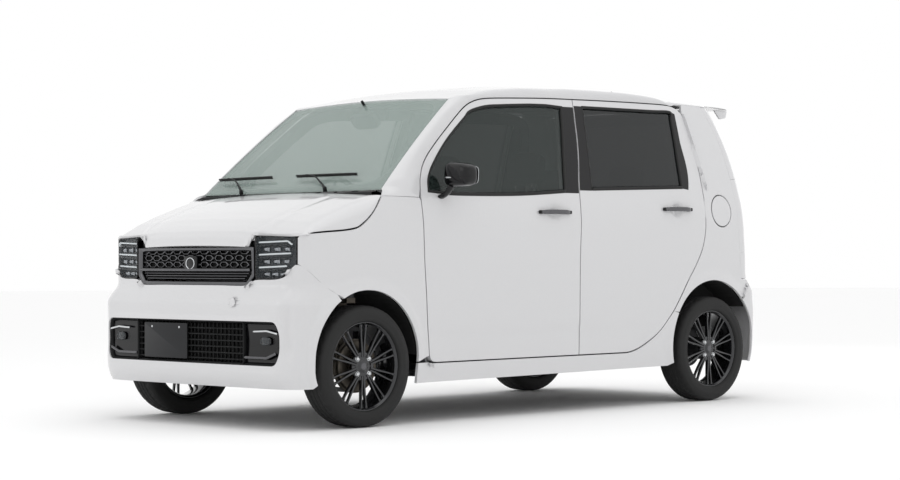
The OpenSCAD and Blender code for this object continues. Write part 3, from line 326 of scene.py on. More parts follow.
    def across(self, u: Array, z: Array) -> Array:
        """Distance from the centreline, across the nose, for a length along the plan curve."""
        return self.nose_end(np.asarray(z, float)) - u

    def roof_y(self, x: Array) -> Array:
        """Half width of the roof panel."""
        return graph(self.edge_line, x)

    def roof_z(self, x: Array, y: Array) -> Array:
        """Height of the roof: its centre line less a crown times y squared."""
        crown = lerp(0.000055, 0.00011, ramp(-np.asarray(x, float), -536, 200))
        return self.roof + graph(self.roof_line, x) - crown * np.asarray(y, float) ** 2

    def screen(self, s: Array, t: Array) -> Array:
        """Windscreen: a curved foot and a curved head joined by lines that bow out by 40 t (1 - t)."""
        s, t = np.broadcast_arrays(np.asarray(s, float), np.asarray(t, float))
        foot = np.stack([1068 + 16 * (1 - s * s), 663 * s, np.full(s.shape, 1101.0)], axis=-1)
        x = 536 + 12 * (1 - s * s)
        head = np.stack([x, 571 * s, self.roof_z(x, 571 * s) - 1], axis=-1)
        bow = (40 * t * (1 - t))[..., None] * np.array([0.64, 0, 0.77])
        return lerp(foot, head, t[..., None]) + bow


SKIN = Skin()


# ---------------------------------------------------------------- shapes


@dataclass
class Shape:
    """Points in millimetres with faces, to be put into one mesh."""

    points: Array
    quads: Array
    caps: list = field(default_factory=list)

    @classmethod
    def grid(cls, g: Array, looped: bool = False, tube: bool = False, aim: Optional[Sequence[float]] = None,
            capped: bool = False) -> "Shape":
        """Surface through a grid of points.

        Args:
            g: points by row and column.
            looped: whether the last column joins the first.
            tube: whether the last row joins the first.
            aim: a direction the faces look along; the columns are turned round if they don't.
            capped: whether the first and last rows, which are loops, are closed by flat faces.

        Returns:
            The shape.
        """
        g = np.asarray(g, float)
        if aim is not None:
            n = np.cross(g[:-1, 1:] - g[:-1, :-1], g[1:, :-1] - g[:-1, :-1]).reshape(-1, 3).sum(axis=0)
            if np.dot(n, aim) < 0:
                g = g[:, ::-1]
        rows, cols = g.shape[:2]
        index = np.arange(rows * cols).reshape(rows, cols)
        a = index if not looped else np.concatenate([index, index[:, :1]], axis=1)
        if tube:
            a = np.concatenate([a, a[:1]], axis=0)
        quads = np.stack([a[:-1, :-1], a[:-1, 1:], a[1:, 1:], a[1:, :-1]], axis=-1).reshape(-1, 4)
        caps = [index[0, ::-1].tolist(), index[-1].tolist()] if capped else []
        return cls(g.reshape(-1, 3), quads, caps)

    @classmethod
    def prism(cls, outline: Array, low: float, high: float, axis: str = "y", edge: float = 1.5) -> "Shape":
        """Closed outline drawn out along an axis, with its rims eased by a chamfer of width edge.

        Args:
            outline: pairs: (x, z) for axis y, (y, z) for axis x, (x, y) for axis z.
            low: start along the axis.
            high: end along the axis.
            axis: x, y or z.
            edge: width of the eased rims.

        Returns:
            A closed shape.
        """
        p = np.asarray(outline, float)
        area = np.sum(p[:, 0] * np.roll(p[:, 1], -1) - np.roll(p[:, 0], -1) * p[:, 1])
        small = offset(p, edge if area > 0 else -edge, closed=True)
        mid = lerp(p, small, 0.3)
        rows = [(small, low), (mid, low + 0.3 * edge), (p, low + edge), (p, high - edge),
            (mid, high - 0.3 * edge), (small, high)]
        put = {"x": lambda q, h: np.stack([h, q[:, 0], q[:, 1]], axis=1), "y": lambda q,
            h: np.stack([q[:, 0], h, q[:, 1]], axis=1), "z": lambda q,
            h: np.stack([q[:, 0], q[:, 1], h], axis=1)}[axis]
        return cls.grid(np.stack([put(q, np.full(len(q), float(h))) for q, h in rows]), looped=True,
            capped=True)

    @classmethod
    def revolved(cls, profile: Line, centre: Sequence[float], axis: Sequence[float], count: int = 64,
            looped: bool = False, ripple: Optional[Callable[[Array, Array], Array]] = None) -> "Shape":
        """Profile of (radius, height) turned about an axis.

        Args:
            profile: pairs from one end to the other, or a closed loop.
            centre: where height is nought.
            axis: direction of the axis.
            count: steps round.
            looped: whether the profile is a closed loop.
            ripple: adds to the radius, from the turn angle and the height.

        Returns:
            A closed shape if the profile is a loop or starts and ends on the axis.
        """
        p = np.asarray(profile, float)
        w = np.asarray(axis, float) / np.linalg.norm(axis)
        u = np.cross(w, [0.0, 0.0, 1.0] if abs(w[2]) < 0.9 else [1.0, 0.0, 0.0])
        u /= np.linalg.norm(u)
        v = np.cross(w, u)
        a = np.linspace(0, 2 * math.pi, count, endpoint=False)[None, :]
        r = p[:, :1] + (ripple(a, p[:, 1:]) if ripple else 0 * a)
        g = (np.asarray(centre, float) + (r * np.cos(a))[..., None] * u + (r * np.sin(a))[..., None] * v
            + np.broadcast_to(p[:, 1:], r.shape)[..., None] * w)
        return cls.grid(g, looped=True, tube=looped)

    @classmethod
    def swept(cls, path: Line, section: Array, up: Sequence[float] = (0, 0, 1), closed: bool = False,
            scale: Optional[Array] = None) -> "Shape":
        """Closed section carried along a path, square to it.

        Args:
            path: points of the path.
            section: pairs (across, up).
            up: direction that the section's second number keeps nearest to.
            closed: whether the path is a loop.
            scale: size of the section at each point of the path.

        Returns:
            A closed shape.
        """
        p = np.asarray(path, float)
        ends = np.concatenate([p[-1:], p, p[:1]]) if closed else np.concatenate([2 * p[:1] - p[1:2], p,
            2 * p[-1:] - p[-2:-1]])
        t = ends[2:] - ends[:-2]
        t /= np.linalg.norm(t, axis=1, keepdims=True)
        n = np.cross(t, np.asarray(up, float))
        n /= np.maximum(1e-9, np.linalg.norm(n, axis=1, keepdims=True))
        b = np.cross(n, t)
        k = np.ones(len(p)) if scale is None else np.asarray(scale, float)
        s = np.asarray(section, float)
        g = (p[:, None] + k[:, None, None] * (s[None, :, :1] * n[:, None] + s[None, :, 1:] * b[:, None]))
        return cls.grid(g, looped=True, tube=closed, capped=not closed)

    @classmethod
    def box(cls, low: Sequence[float], high: Sequence[float], edge: float = 2.0) -> "Shape":
        """Block with eased edges between two corners."""
        outline = rounded([(low[0], low[2]), (high[0], low[2]), (high[0], high[2]), (low[0], high[2])],
            2 * edge, 3)
        return cls.prism(outline, low[1], high[1], "y", edge)

    def moved(self, by: Sequence[float] = (0, 0, 0), turn: Optional[Matrix] = None) -> "Shape":
        """The shape turned about the origin and then moved."""
        p = self.points if turn is None else self.points @ np.array(turn.to_3x3()).T
        return Shape(p + np.asarray(by, float), self.quads, self.caps)

    def other_side(self, side: Side = Side.RIGHT) -> "Shape":
        """Mirror image across the middle plane for the right side, with its faces turned back outwards."""
        if side is Side.LEFT:
            return self
        return Shape(self.points * np.array([1, -1, 1]), self.quads[:, ::-1], [c[::-1] for c in self.caps])

    def __add__(self, other: "Shape") -> "Shape":
        """Both shapes as one."""
        n = len(self.points)
        return Shape(np.concatenate([self.points, other.points]),
            np.concatenate([self.quads, other.quads + n]),
            self.caps + [[i + n for i in c] for c in other.caps])


def together(shapes: Sequence[Shape]) -> Shape:
    """Several shapes as one."""
    out = shapes[0]
    for s in shapes[1:]:
        out = out + s
    return out


def ring_section(radius: float, sides: int = 12) -> Array:
    """Circle as a section."""
    return arc((0, 0), radius, 0, 360 * (1 - 1 / sides), sides)


def place(name: str, shape: Shape, finish: "Finish", body: str = "body",
        stands_for: Sequence[str] = (), thick: float = 0.0, edge: float = 0.0, smooth: bool = True,
        closed: bool = False) -> bpy.types.Object:
    """Makes a piece: mesh, finish, body and modifiers.

    Args:
        name: the piece's name.
        shape: its points and faces.
        finish: what it is made of.
        body: the body it moves with.
        stands_for: CAD nodes that it replaces.
        thick: thickness given to a sheet, inwards from its face.
        edge: width of its rounded edges.
        smooth: whether its faces are shaded smooth.
        closed: whether doubles are merged and the normals made to point outwards.

    Returns:
        The piece's object.
    """
    mesh = bpy.data.meshes.new(name)
    mesh.from_pydata(shape.points * MM, [], shape.quads.tolist() + shape.caps)
    if closed:
        bm = bmesh.new()
        bm.from_mesh(mesh)
        bmesh.ops.remove_doubles(bm, verts=bm.verts, dist=0.00002)
        bmesh.ops.dissolve_degenerate(bm, edges=bm.edges, dist=0.00002)
        bmesh.ops.recalc_face_normals(bm, faces=bm.faces)
        bm.to_mesh(mesh)
        bm.free()
    mesh.validate()
    mesh.shade_smooth() if smooth else mesh.shade_flat()
    mesh.materials.append(finish.material())
    piece = bpy.data.objects.new(name, mesh)
    bpy.context.scene.collection.objects.link(piece)
    if thick:
        wall = piece.modifiers.new("wall", "SOLIDIFY")
        wall.thickness, wall.offset, wall.use_even_offset = thick * MM, -1.0, False
    if edge:
        bevel = piece.modifiers.new("edge", "BEVEL")
        bevel.width, bevel.segments, bevel.limit_method = edge * MM, 2, "ANGLE"
        bevel.angle_limit = math.radians(50)
        tidy = piece.modifiers.new("shading", "WEIGHTED_NORMAL")
        tidy.keep_sharp = True
    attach(piece, body)
    if stands_for:
        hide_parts(*stands_for)
    LOG.info("%s: %d faces on %s, %s", name, len(mesh.polygons), body, finish.name)
    return piece


# ---------------------------------------------------------------- finishes


def linear(colour: str, alpha: float = 1.0) -> tuple:
    """sRGB hex colour as linear red, green, blue and alpha."""
    c = np.array([int(colour[i:i + 2], 16) for i in (1, 3, 5)]) / 255
    return (*np.where(c <= 0.04045, c / 12.92, ((c + 0.055) / 1.055) ** 2.4).tolist(), alpha)


def add(tree: bpy.types.NodeTree, kind: str, links: Optional[dict] = None,
        **settings: object) -> bpy.types.Node:
    """Adds a node.

    Args:
        tree: the material's node tree.
        kind: the node's class name.
        links: input name or number to an output socket, or to a plain value.
        settings: properties of the node.

    Returns:
        The node.
    """
    node = tree.nodes.new(kind)
    for key, value in settings.items():
        setattr(node, key, value)
    for key, value in (links or {}).items():
        if isinstance(value, bpy.types.NodeSocket):
            tree.links.new(value, node.inputs[key])
        else:
            node.inputs[key].default_value = value
    return node


@dataclass(frozen=True)
class Finish:
    """A material: its base, its gloss, and a grain that varies colour, roughness and relief at a real size.

    grain_mm is the size of one grain; speckle is how far its colour swings, relief how deep it stands.
    """

    name: str
    colour: str
    other: Optional[str] = None
    roughness: float = 0.5
    rough_swing: float = 0.05
    metallic: float = 0.0
    coat: float = 0.0
    coat_roughness: float = 0.03
    ior: float = 1.5
    sheen: float = 0.0
    transmission: float = 0.0
    alpha: float = 1.0
    glow: float = 0.0
    grain_mm: float = 2.0
    stretch: tuple = (1.0, 1.0, 1.0)
    relief: float = 0.1
    relief_mm: float = 0.1
    pattern: str = "noise"

    def material(self) -> bpy.types.Material:
        """The material, made once."""
        found = bpy.data.materials.get(self.name)
        if found:
            return found
        m = bpy.data.materials.new(self.name)
        m.use_nodes = True
        tree = m.node_tree
        tree.nodes.clear()
        out = add(tree, "ShaderNodeOutputMaterial")
        where = add(tree, "ShaderNodeTexCoord")
        size = add(tree, "ShaderNodeMapping", {"Vector": where.outputs["Object"], "Scale": self.stretch})
        value = self.grain(tree, size.outputs["Vector"])
        colour = add(tree, "ShaderNodeMix", {"Factor": value, 6: linear(self.colour),
            7: linear(self.other or self.colour)}, data_type="RGBA")
        rough = add(tree, "ShaderNodeMapRange", {"Value": value,
            "To Min": max(0.0, self.roughness - self.rough_swing),
            "To Max": min(1.0, self.roughness + self.rough_swing)})
        bump = add(tree, "ShaderNodeBump", {"Height": value, "Strength": self.relief,
            "Distance": self.relief_mm * MM})
        shader = add(tree, "ShaderNodeBsdfPrincipled",
            {"Base Color": colour.outputs[2], "Roughness": rough.outputs["Result"],
            "Normal": bump.outputs["Normal"], "Metallic": self.metallic, "IOR": self.ior,
            "Coat Weight": self.coat, "Coat Roughness": self.coat_roughness, "Sheen Weight": self.sheen,
            "Transmission Weight": self.transmission, "Alpha": self.alpha})
        if self.glow:
            shader.inputs["Emission Color"].default_value = linear(self.colour)
            shader.inputs["Emission Strength"].default_value = self.glow
        tree.links.new(shader.outputs["BSDF"], out.inputs["Surface"])
        return m

    def grain(self, tree: bpy.types.NodeTree, vector: bpy.types.NodeSocket) -> bpy.types.NodeSocket:
        """Adds the pattern and returns its value: noise, brushed streaks or crossing threads."""
        scale = 1 / (self.grain_mm * MM)
        if self.pattern == "weave":
            a = add(tree, "ShaderNodeTexWave", {"Vector": vector, "Scale": scale / 20, "Distortion": 0.6},
                bands_direction="Y")
            b = add(tree, "ShaderNodeTexWave", {"Vector": vector, "Scale": scale / 20, "Distortion": 0.6},
                bands_direction="DIAGONAL")
            return add(tree, "ShaderNodeMath", {0: a.outputs["Fac"], 1: b.outputs["Fac"]},
                operation="MULTIPLY").outputs[0]
        if self.pattern == "pebble":
            cell = add(tree, "ShaderNodeTexVoronoi", {"Vector": vector, "Scale": scale}, feature="SMOOTH_F1")
            return cell.outputs["Distance"]
        noise = add(tree, "ShaderNodeTexNoise", {"Vector": vector, "Scale": scale, "Detail": 3.0,
            "Roughness": 0.55})
        return noise.outputs["Fac"]


# Pearl enamel under clear lacquer: soft white with a faint orange peel and a hard, sharp gloss over it.
PEARL = Finish("pearl_lacquered_enamel", "#cfcfd0", "#cbcbcd", 0.38, 0.04, coat=1.0, grain_mm=9, relief=0.05,
    relief_mm=0.05)
# Electro-coated steel primer with thin colour: the duller inner flanges.
PRIMER = Finish("primed_body_steel", "#77777a", "#6e6e71", 0.5, 0.06, coat=0.3, grain_mm=14, relief=0.08)
# Injection-moulded ABS painted gloss black: mirrors and sashes reflect the room in a dark skin.
PIANO = Finish("gloss_black_abs", "#08080a", "#0c0c0e", 0.14, 0.03, coat=0.25, ior=1.3, grain_mm=12,
    relief=0.03, relief_mm=0.05)
# Moulded polypropylene: matt dark grey with a fine pebble grain.
MATT = Finish("grained_black_polypropylene", "#121314", "#191a1b", 0.62, 0.08, ior=1.35, grain_mm=2.2,
    relief=0.35, relief_mm=0.12, pattern="pebble")
# Smoked chrome plate: a dark mirror with brown-grey body.
SMOKED = Finish("smoked_chrome_plate", "#6a6a6c", "#5c5c5f", 0.16, 0.04, metallic=1.0, grain_mm=20,
    relief=0.03)
# Bright chrome plate.
CHROME = Finish("bright_chrome_plate", "#d2d4d6", "#c6c8ca", 0.08, 0.02, metallic=1.0, grain_mm=20,
    relief=0.02)
# Machined and black-lacquered aluminium alloy: gloss black with grey glints.
ALLOY = Finish("black_lacquered_alloy", "#1d1e20", "#2a2b2e", 0.24, 0.05, metallic=0.75, coat=0.9, grain_mm=6,
    relief=0.06)
# Tyre compound: carbon black rubber, dull with a little bloom.
RUBBER = Finish("tyre_rubber", "#131313", "#1c1c1c", 0.78, 0.08, grain_mm=5, relief=0.2, relief_mm=0.15)
# Extruded seal rubber.
SEAL = Finish("seal_rubber", "#0e0e0e", "#161616", 0.7, 0.05, grain_mm=4, relief=0.1)
# Laminated float glass with a green cast, and darker privacy glass.
SCREEN = Finish("laminated_green_glass", "#b4c4be", "#acbcb6", 0.02, 0.01, ior=1.5, alpha=0.4, grain_mm=300,
    relief=0.0)
DOOR_GLASS = Finish("tempered_green_glass", "#2c3432", "#2a3230", 0.02, 0.01, ior=1.5, alpha=0.62,
    grain_mm=300, relief=0.0)
PRIVACY = Finish("privacy_glass", "#15191a", "#171b1c", 0.02, 0.01, ior=1.5, alpha=0.8, grain_mm=300,
    relief=0.0)
# Fired black enamel at the edge of the glass.
FRIT = Finish("black_glass_frit", "#080908", "#0c0c0c", 0.3, 0.04, grain_mm=3, relief=0.02)
# Polycarbonate lamp covers.
LENS = Finish("clear_polycarbonate", "#4a5054", "#454b4f", 0.03, 0.01, ior=1.58, alpha=0.14, grain_mm=200,
    relief=0.0)
RED_LENS = Finish("red_polycarbonate", "#8c0c10", "#a01014", 0.1, 0.03, ior=1.58, coat=0.6, grain_mm=8,
    relief=0.05)
AMBER = Finish("amber_polycarbonate", "#c86a18", "#b85c10", 0.12, 0.03, coat=0.5, grain_mm=5, relief=0.1)
# Lit-guide acrylic: milky white.
GUIDE = Finish("milky_acrylic_guide", "#dfe6ea", "#eef3f5", 0.2, 0.03, coat=0.6, glow=0.25, grain_mm=10,
    relief=0.05)
# Vacuum-metallised reflector.
REFLECTOR = Finish("metallised_reflector", "#b9bcc0", "#a9adb2", 0.14, 0.04, metallic=1.0, grain_mm=15,
    relief=0.04)
# Knitted polyester seat cloth: 3 mm ribs, drawn as coarse as they show.
CLOTH = Finish("knitted_seat_cloth", "#2c2d30", "#3b3c40", 0.88, 0.05, sheen=0.4, grain_mm=3.0, relief=0.5,
    relief_mm=0.4, pattern="weave")
# Tufted carpet.
CARPET = Finish("tufted_carpet", "#2a2a2c", "#3a3a3c", 0.95, 0.03, sheen=0.2, grain_mm=4, relief=0.9,
    relief_mm=1.0)
# Bonded headlining felt: pale warm grey.
FELT = Finish("headlining_felt", "#c9c7c2", "#bdbbb6", 0.92, 0.03, sheen=0.2, grain_mm=3, relief=0.4,
    relief_mm=0.4)
# Soft moulded dashboard skin.
SKIN_TRIM = Finish("moulded_trim_skin", "#333437", "#3d3e41", 0.7, 0.06, grain_mm=2.5, relief=0.35,
    relief_mm=0.15, pattern="pebble")
# Sand-cast aluminium, grey iron, and pressed black chassis paint.
CAST = Finish("sand_cast_aluminium", "#9a9b9c", "#86878a", 0.5, 0.1, metallic=0.9, grain_mm=5, relief=0.4,
    relief_mm=0.4)
IRON = Finish("grey_iron", "#55544f", "#6b6258", 0.55, 0.12, metallic=0.8, grain_mm=8, relief=0.35,
    relief_mm=0.4)
CHASSIS = Finish("chassis_black_paint", "#232426", "#303032", 0.55, 0.1, coat=0.2, grain_mm=18, relief=0.15)
EXHAUST = Finish("aluminised_exhaust_steel", "#8d8b86", "#77736b", 0.4, 0.12, metallic=0.95, grain_mm=25,
    relief=0.15)
# Blank anodised plate.
PLATE = Finish("anodised_blank_plate", "#17181a", "#1e1f22", 0.42, 0.05, metallic=0.4, grain_mm=1.5,
    relief=0.15, stretch=(1.0, 0.1, 1.0))
WHITE_PLATE = Finish("painted_blank_plate", "#e9e9e6", "#e2e2de", 0.45, 0.04, grain_mm=10, relief=0.08)
DARK = Finish("unlit_cavity_plastic", "#070707", "#0b0b0b", 0.85, 0.05, grain_mm=6, relief=0.1)
# Black moulding of the arch liners, and painted shade: the same near-black on sheets deep in the grille and
# intake openings stands for the shade there; it hardly shows its grain.
"""Black moulding deep in an opening, which hardly shows its grain."""
SCREEN_OFF = Finish("switched_off_display", "#050608", "#07080b", 0.08, 0.02, coat=0.6, grain_mm=50,
    relief=0.0)


def dress(nodes: Sequence[str], finish: Finish) -> None:
    """Gives carried-over CAD nodes a finish."""
    for name in nodes:
        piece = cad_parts[name]
        piece.data.materials.clear()
        piece.data.materials.append(finish.material())
        LOG.info("%s: carried over, %s", name, finish.name)


# ---------------------------------------------------------------- outlines shared by neighbouring panels

SPLIT = ((285, -237), (445, -233), (763, -231), (919, -239), (1100, -251), (1309, -291), (1480, -311),
    (1590, -321))
SPLIT_Z = (285, 445, 620, 790, 940, 1090, 1230, 1400, 1583)
FRONT_TOP = [[-190, 1581], [-79, 1578], [69, 1572], [200, 1566], [300, 1560], [365, 1551]]
FRONT_PILLAR = [[420, 1534], [468, 1509], [530, 1463], [592, 1413], [655, 1362], [718, 1309], [776, 1256],
    [820, 1202], [848, 1146], [862, 1096]]
FRONT_LEADING = [[866, 1050], [862, 942], [855, 768], [844, 627], [833, 471], [824, 390], [816, 318],
    [800, 291], [770, 285]]
REAR_TOP = [[-500, 1586], [-692, 1588], [-900, 1589], [-1050, 1588], [-1110, 1583]]
REAR_BACK = [[-1154, 1569], [-1185, 1545], [-1203, 1510], [-1215, 1465], [-1231, 1373], [-1241, 1270],
    [-1246, 1180], [-1245, 1070], [-1240, 960], [-1230, 890], [-1210, 826]]
REAR_WHEEL = [[-1183, 778], [-1150, 730], [-1110, 680], [-1068, 627], [-1015, 558], [-965, 492], [-922, 446],
    [-870, 398], [-810, 358], [-745, 325], [-690, 303], [-640, 290], [-600, 285]]
BONNET_SEAM = [[1118, 1068], [1154, 1021], [1185, 985], [1220, 955], [1270, 924], [1345, 911], [1460, 903],
    [1588, 893]]
BUMPER_SEAM = [[1400, 615], [1440, 640], [1487, 672], [1540, 713], [1587, 746]]
FRONT_BELT = [[812, 1094], [613, 1086], [200, 1092], [-148, 1112]]
REAR_BELT = [[-1078, 1149], [-352, 1127]]
GAP = 6.0
SEAM = 0.8
PER = 4


def split_points(d: float) -> list:
    """Points of the line between the two side doors, moved back or forward by d."""
    return [[float(graph(SPLIT, z)) + d, z] for z in SPLIT_Z]


def window_side(a: Line, count: int) -> list:
    """A window edge as count points, the last of the edge left off."""
    return even(smooth_line(a, 12), count + 1)[:-1].tolist()


# ---------------------------------------------------------------- doors


@dataclass
class DoorShell:
    """One side door: the pressed shell round its window, the glass, sashes, seals, inner card and handle."""

    side: Side
    front: bool
    thickness: float = 43.0
    glass_depth: float = 9.0
    handle_length: float = 240.0
    cup_radius: float = 47.0

    @property
    def body(self) -> str:
        """Body the door moves with."""
        return f"door_{'front' if self.front else 'rear'}_{self.side.name.lower()}"

    @property
    def tag(self) -> str:
        """Start of the door's piece names."""
        return f"{'front' if self.front else 'rear'}_door_{self.side.name.lower()}"

    @property
    def handle_at(self) -> tuple:
        """Middle of the handle, x and z."""
        return (-44.0, 1003.0) if self.front else (-1004.0, 1028.0)

    def parts(self) -> tuple:
        """Edges of the window and of the door, matched point for point.

        Returns:
            Two lists of four smooth edges: split, top, outer pillar, and the rest with the belt.
        """
        if self.front:
            outer = [split_points(GAP / 2), FRONT_TOP + FRONT_PILLAR + FRONT_LEADING,
                even([[600, 285], [-60, 285]], 5).tolist()]
            inner = [window_side([[-148, 1112], [-226, 1541]], 8) + [[-226, 1541]],
                window_side([[-226, 1541], [-69, 1546], [200, 1532], [356, 1517], [431, 1494]], 6)[1:]
                + window_side([[431, 1494], [620, 1346], [760, 1205], [806, 1130], [812, 1094]], 10)
                + [[812, 1094]], window_side(FRONT_BELT, 15)[1:]]
        else:
            outer = [split_points(-GAP / 2), REAR_TOP + REAR_BACK + REAR_WHEEL, [[-480, 285], [-360, 285]]]
            inner = [window_side([[-352, 1127], [-388, 1549]], 8) + [[-388, 1549]],
                window_side([[-388, 1549], [-1094, 1553]], 5)[1:]
                + window_side([[-1094, 1553], [-1078, 1149]], 11) + [[-1078, 1149]],
                window_side(REAR_BELT, 16)[1:]]
        return inner, outer

    def loops(self) -> tuple:
        """Window line and door line, closed, with the same number of points."""
        inner, outer = self.parts()
        return linked(inner, PER, closed=True), linked(outer, PER, closed=True)

    def cup(self, flat: Array) -> Array:
        """Depth of the hollow behind the handle: a smooth dish 13 mm deep that ends at cup_radius."""
        x, z = self.handle_at
        r = np.hypot((flat[..., 0] - x + 6) / 1.25, flat[..., 1] - z + 4)
        return 13 * (1 - ramp(r, 16, self.cup_radius))

    def crease(self, flat: Array) -> Array:
        """Depth below the sill crease: 4 mm, let in between z 452 and z 400 away from the arches."""
        x, z = flat[..., 0], flat[..., 1]
        keep = ramp(np.hypot(x - SKIN.arch_f[0], z - SKIN.arch_f[1]), 400, 520)
        keep = keep * ramp(np.hypot(x - SKIN.arch_r[0], z - SKIN.arch_r[1]), 440, 560)
        return 4 * keep * (1 - ramp(z, 400, 452))

    def shell(self) -> Shape:
        """The pressed shell: rows from the window line to the door line, with the handle's hollow."""
        inner, outer = self.loops()
        flat = between(inner, outer, shares(38, 0.35))
        depth = self.cup(flat) + self.crease(flat)
        return Shape.grid(SKIN.lay(Face.SIDE, flat, depth, self.side), looped=True,
            aim=(0, self.side.value, 0))

    def pane(self, grown: float) -> Array:
        """Grid over the window from the belt up to the top line, both edges spread by grown."""
        if self.front:
            belt = smooth_line(FRONT_BELT[::-1], 12)
            top = smooth_line([[-226, 1541], [-69, 1546], [200, 1532], [356, 1517], [431, 1494], [520, 1427],
                [620, 1346], [700, 1268], [760, 1205], [800, 1140], [812, 1098]], 12)
        else:
            belt, top = smooth_line(REAR_BELT[::-1], 24), smooth_line([[-388, 1549], [-1094, 1553]], 24)
        low, high = even(belt, 73) + [0.0, -grown], even(top, 73) + [0.0, grown]
        if self.front:
            low[:, 0] += grown * np.linspace(-1, 0.2, 73)
            high[:, 0] += grown * np.linspace(-1, 1, 73)
        else:
            low[:, 0] += grown * np.linspace(1, -1, 73)
            high[:, 0] += grown * np.linspace(1, -1, 73)
        return between(low, high, np.linspace(0, 1, 25))

    def sash(self) -> Array:
        """Grid of the black sash between the glass and the split line."""
        z = np.linspace(0, 1, 30)
        d = 4.0 if self.front else -4.0
        window = lerp(np.array([[-146, 1101]]), np.array([[-228, 1545]]),
            z[:, None]) if self.front else lerp(np.array([[-350, 1116]]), np.array([[-389.5, 1553]]),
            z[:, None])
        h = window[:, 1]
        edge = np.stack([graph(SPLIT, h) + GAP / 2 + 1.2 if self.front else graph(SPLIT, h) - GAP / 2 - 1.2,
            h], axis=1)
        return between(window + np.array([-d * 0.1, 0]), edge, np.linspace(0, 1, 6))

    def build(self) -> None:
        """Makes every piece of the door."""
        s, tag, body = self.side, self.tag, self.body
        y = s.value
        glass = DOOR_GLASS if self.front else PRIVACY
        key = "front" if self.front else "rear"
        place(tag + "_shell", self.shell(), PEARL, body, [f"{key}_door_{s.name.lower()}"],
            thick=self.thickness, edge=2.2)
        pane = Shape.grid(SKIN.lay(Face.SIDE, self.pane(0.2), self.glass_depth, s), aim=(0, y, 0))
        place(tag + "_glass", pane, glass, body,
            [f"{key}_glass_{s.name.lower()}"], thick=4.0)
        place(tag + "_sash", Shape.grid(SKIN.lay(Face.SIDE, self.sash(), -0.7, s), aim=(0, y, 0)), PIANO,
            body, thick=1.6, edge=0.5)
        inner, _ = self.loops()
        seal = np.stack([SKIN.lay(Face.SIDE, offset(inner, d * (1 if self.front else -1), closed=True), t, s)
            for d, t in ((-5.5, 8.6), (-5.0, 3.0), (0.5, -0.6), (6.0, -0.6), (6.5, 0.8))])
        place(tag + "_window_seal", Shape.grid(seal, looped=True, aim=(0, y, 0)), SEAL, body,
            thick=-0.8)
        self.belt()
        self.card()
        self.handle()
        if not self.front:
            self.rear_sash()

    def belt(self) -> None:
        """Belt moulding along the window's foot: a half-round black strip."""
        line = even(smooth_line(FRONT_BELT if self.front else REAR_BELT, 12), 60)
        if self.front:
            line = line[6:]
        bead = SKIN.lay(Face.SIDE, line + np.array([0, -3.0]), -1.2, self.side)
        strip = Shape.swept(bead, ring_section(1, 12) * np.array([3.2, 8.5]), up=(0, 0, 1))
        place(self.tag + "_belt_moulding", strip, SEAL, self.body, closed=True)

    def rear_sash(self) -> None:
        """Black applique behind the rear door's glass, widening towards the belt."""
        t = np.linspace(0, 1, 24)[:, None]
        a = lerp(np.array([[-1079.5, 1140]]), np.array([[-1095.5, 1553]]), t)
        b = lerp(np.array([[-1128, 1134]]), np.array([[-1128, 1545]]), t)
        b[:, 0] -= 26 * np.sin(np.pi * np.clip(t[:, 0] * 1.6, 0, 1)) * (1 - t[:, 0])
        grid = between(a, b, np.linspace(0, 1, 6))
        place(self.tag + "_rear_sash", Shape.grid(SKIN.lay(Face.SIDE, grid, -0.7, self.side),
            aim=(0, self.side.value, 0)), PIANO, self.body, thick=1.6, edge=0.5)

    def card(self) -> None:
        """Inner trim card just inside the shell."""
        inner, outer = self.loops()
        sign = -1 if self.front else 1
        flat = between(offset(inner, 12 * -sign, closed=True), offset(outer, 26 * sign, closed=True),
            shares(12, 0.2))
        g = SKIN.lay(Face.SIDE, flat, self.thickness + 1.3, self.side)
        place(self.tag + "_trim_card", Shape.grid(g, looped=True, aim=(0, -self.side.value, 0)), SKIN_TRIM,
            self.body, thick=1.0)

    def handle(self) -> None:
        """Pull handle: a bowed bar, thin and flat in section, whose ends run down into two feet."""
        x, z = self.handle_at
        t = np.linspace(-1, 1, 41)
        half = self.handle_length / 2
        out = 24 - 16 * np.abs(t) ** 4 - 3 * t**2
        slope = float(SKIN.side_y(x + 100, z) - SKIN.side_y(x - 100, z)) / 200
        y = float(SKIN.side_y(x, z)) + slope * half * t + out
        path = np.stack([x + half * 0.97 * t, y, z + 1.5 * np.cos(np.pi * t / 2)], axis=1)
        size = 1 - 0.45 * np.abs(t) ** 5
        section = np.stack([4.5 * np.sign(np.cos(a := np.linspace(0, 2 * np.pi, 20, endpoint=False)))
            * np.abs(np.cos(a)) ** 0.7, 11.5 * np.sign(np.sin(a)) * np.abs(np.sin(a)) ** 0.7], axis=1)
        bar = Shape.swept(path, section, up=(0, 0, 1), scale=size).other_side(self.side)
        feet = together([Shape.box((x + d - 13, float(SKIN.side_y(x + d, z)) + 0.5, z - 9),
            (x + d + 13, float(SKIN.side_y(x + d, z)) + 15, z + 9), 3)
            for d in (-104, 104)]).other_side(self.side)
        place(self.tag + "_handle_bar", bar, SMOKED, self.body, closed=True)
        place(self.tag + "_handle_feet", feet, MATT, self.body, closed=True)


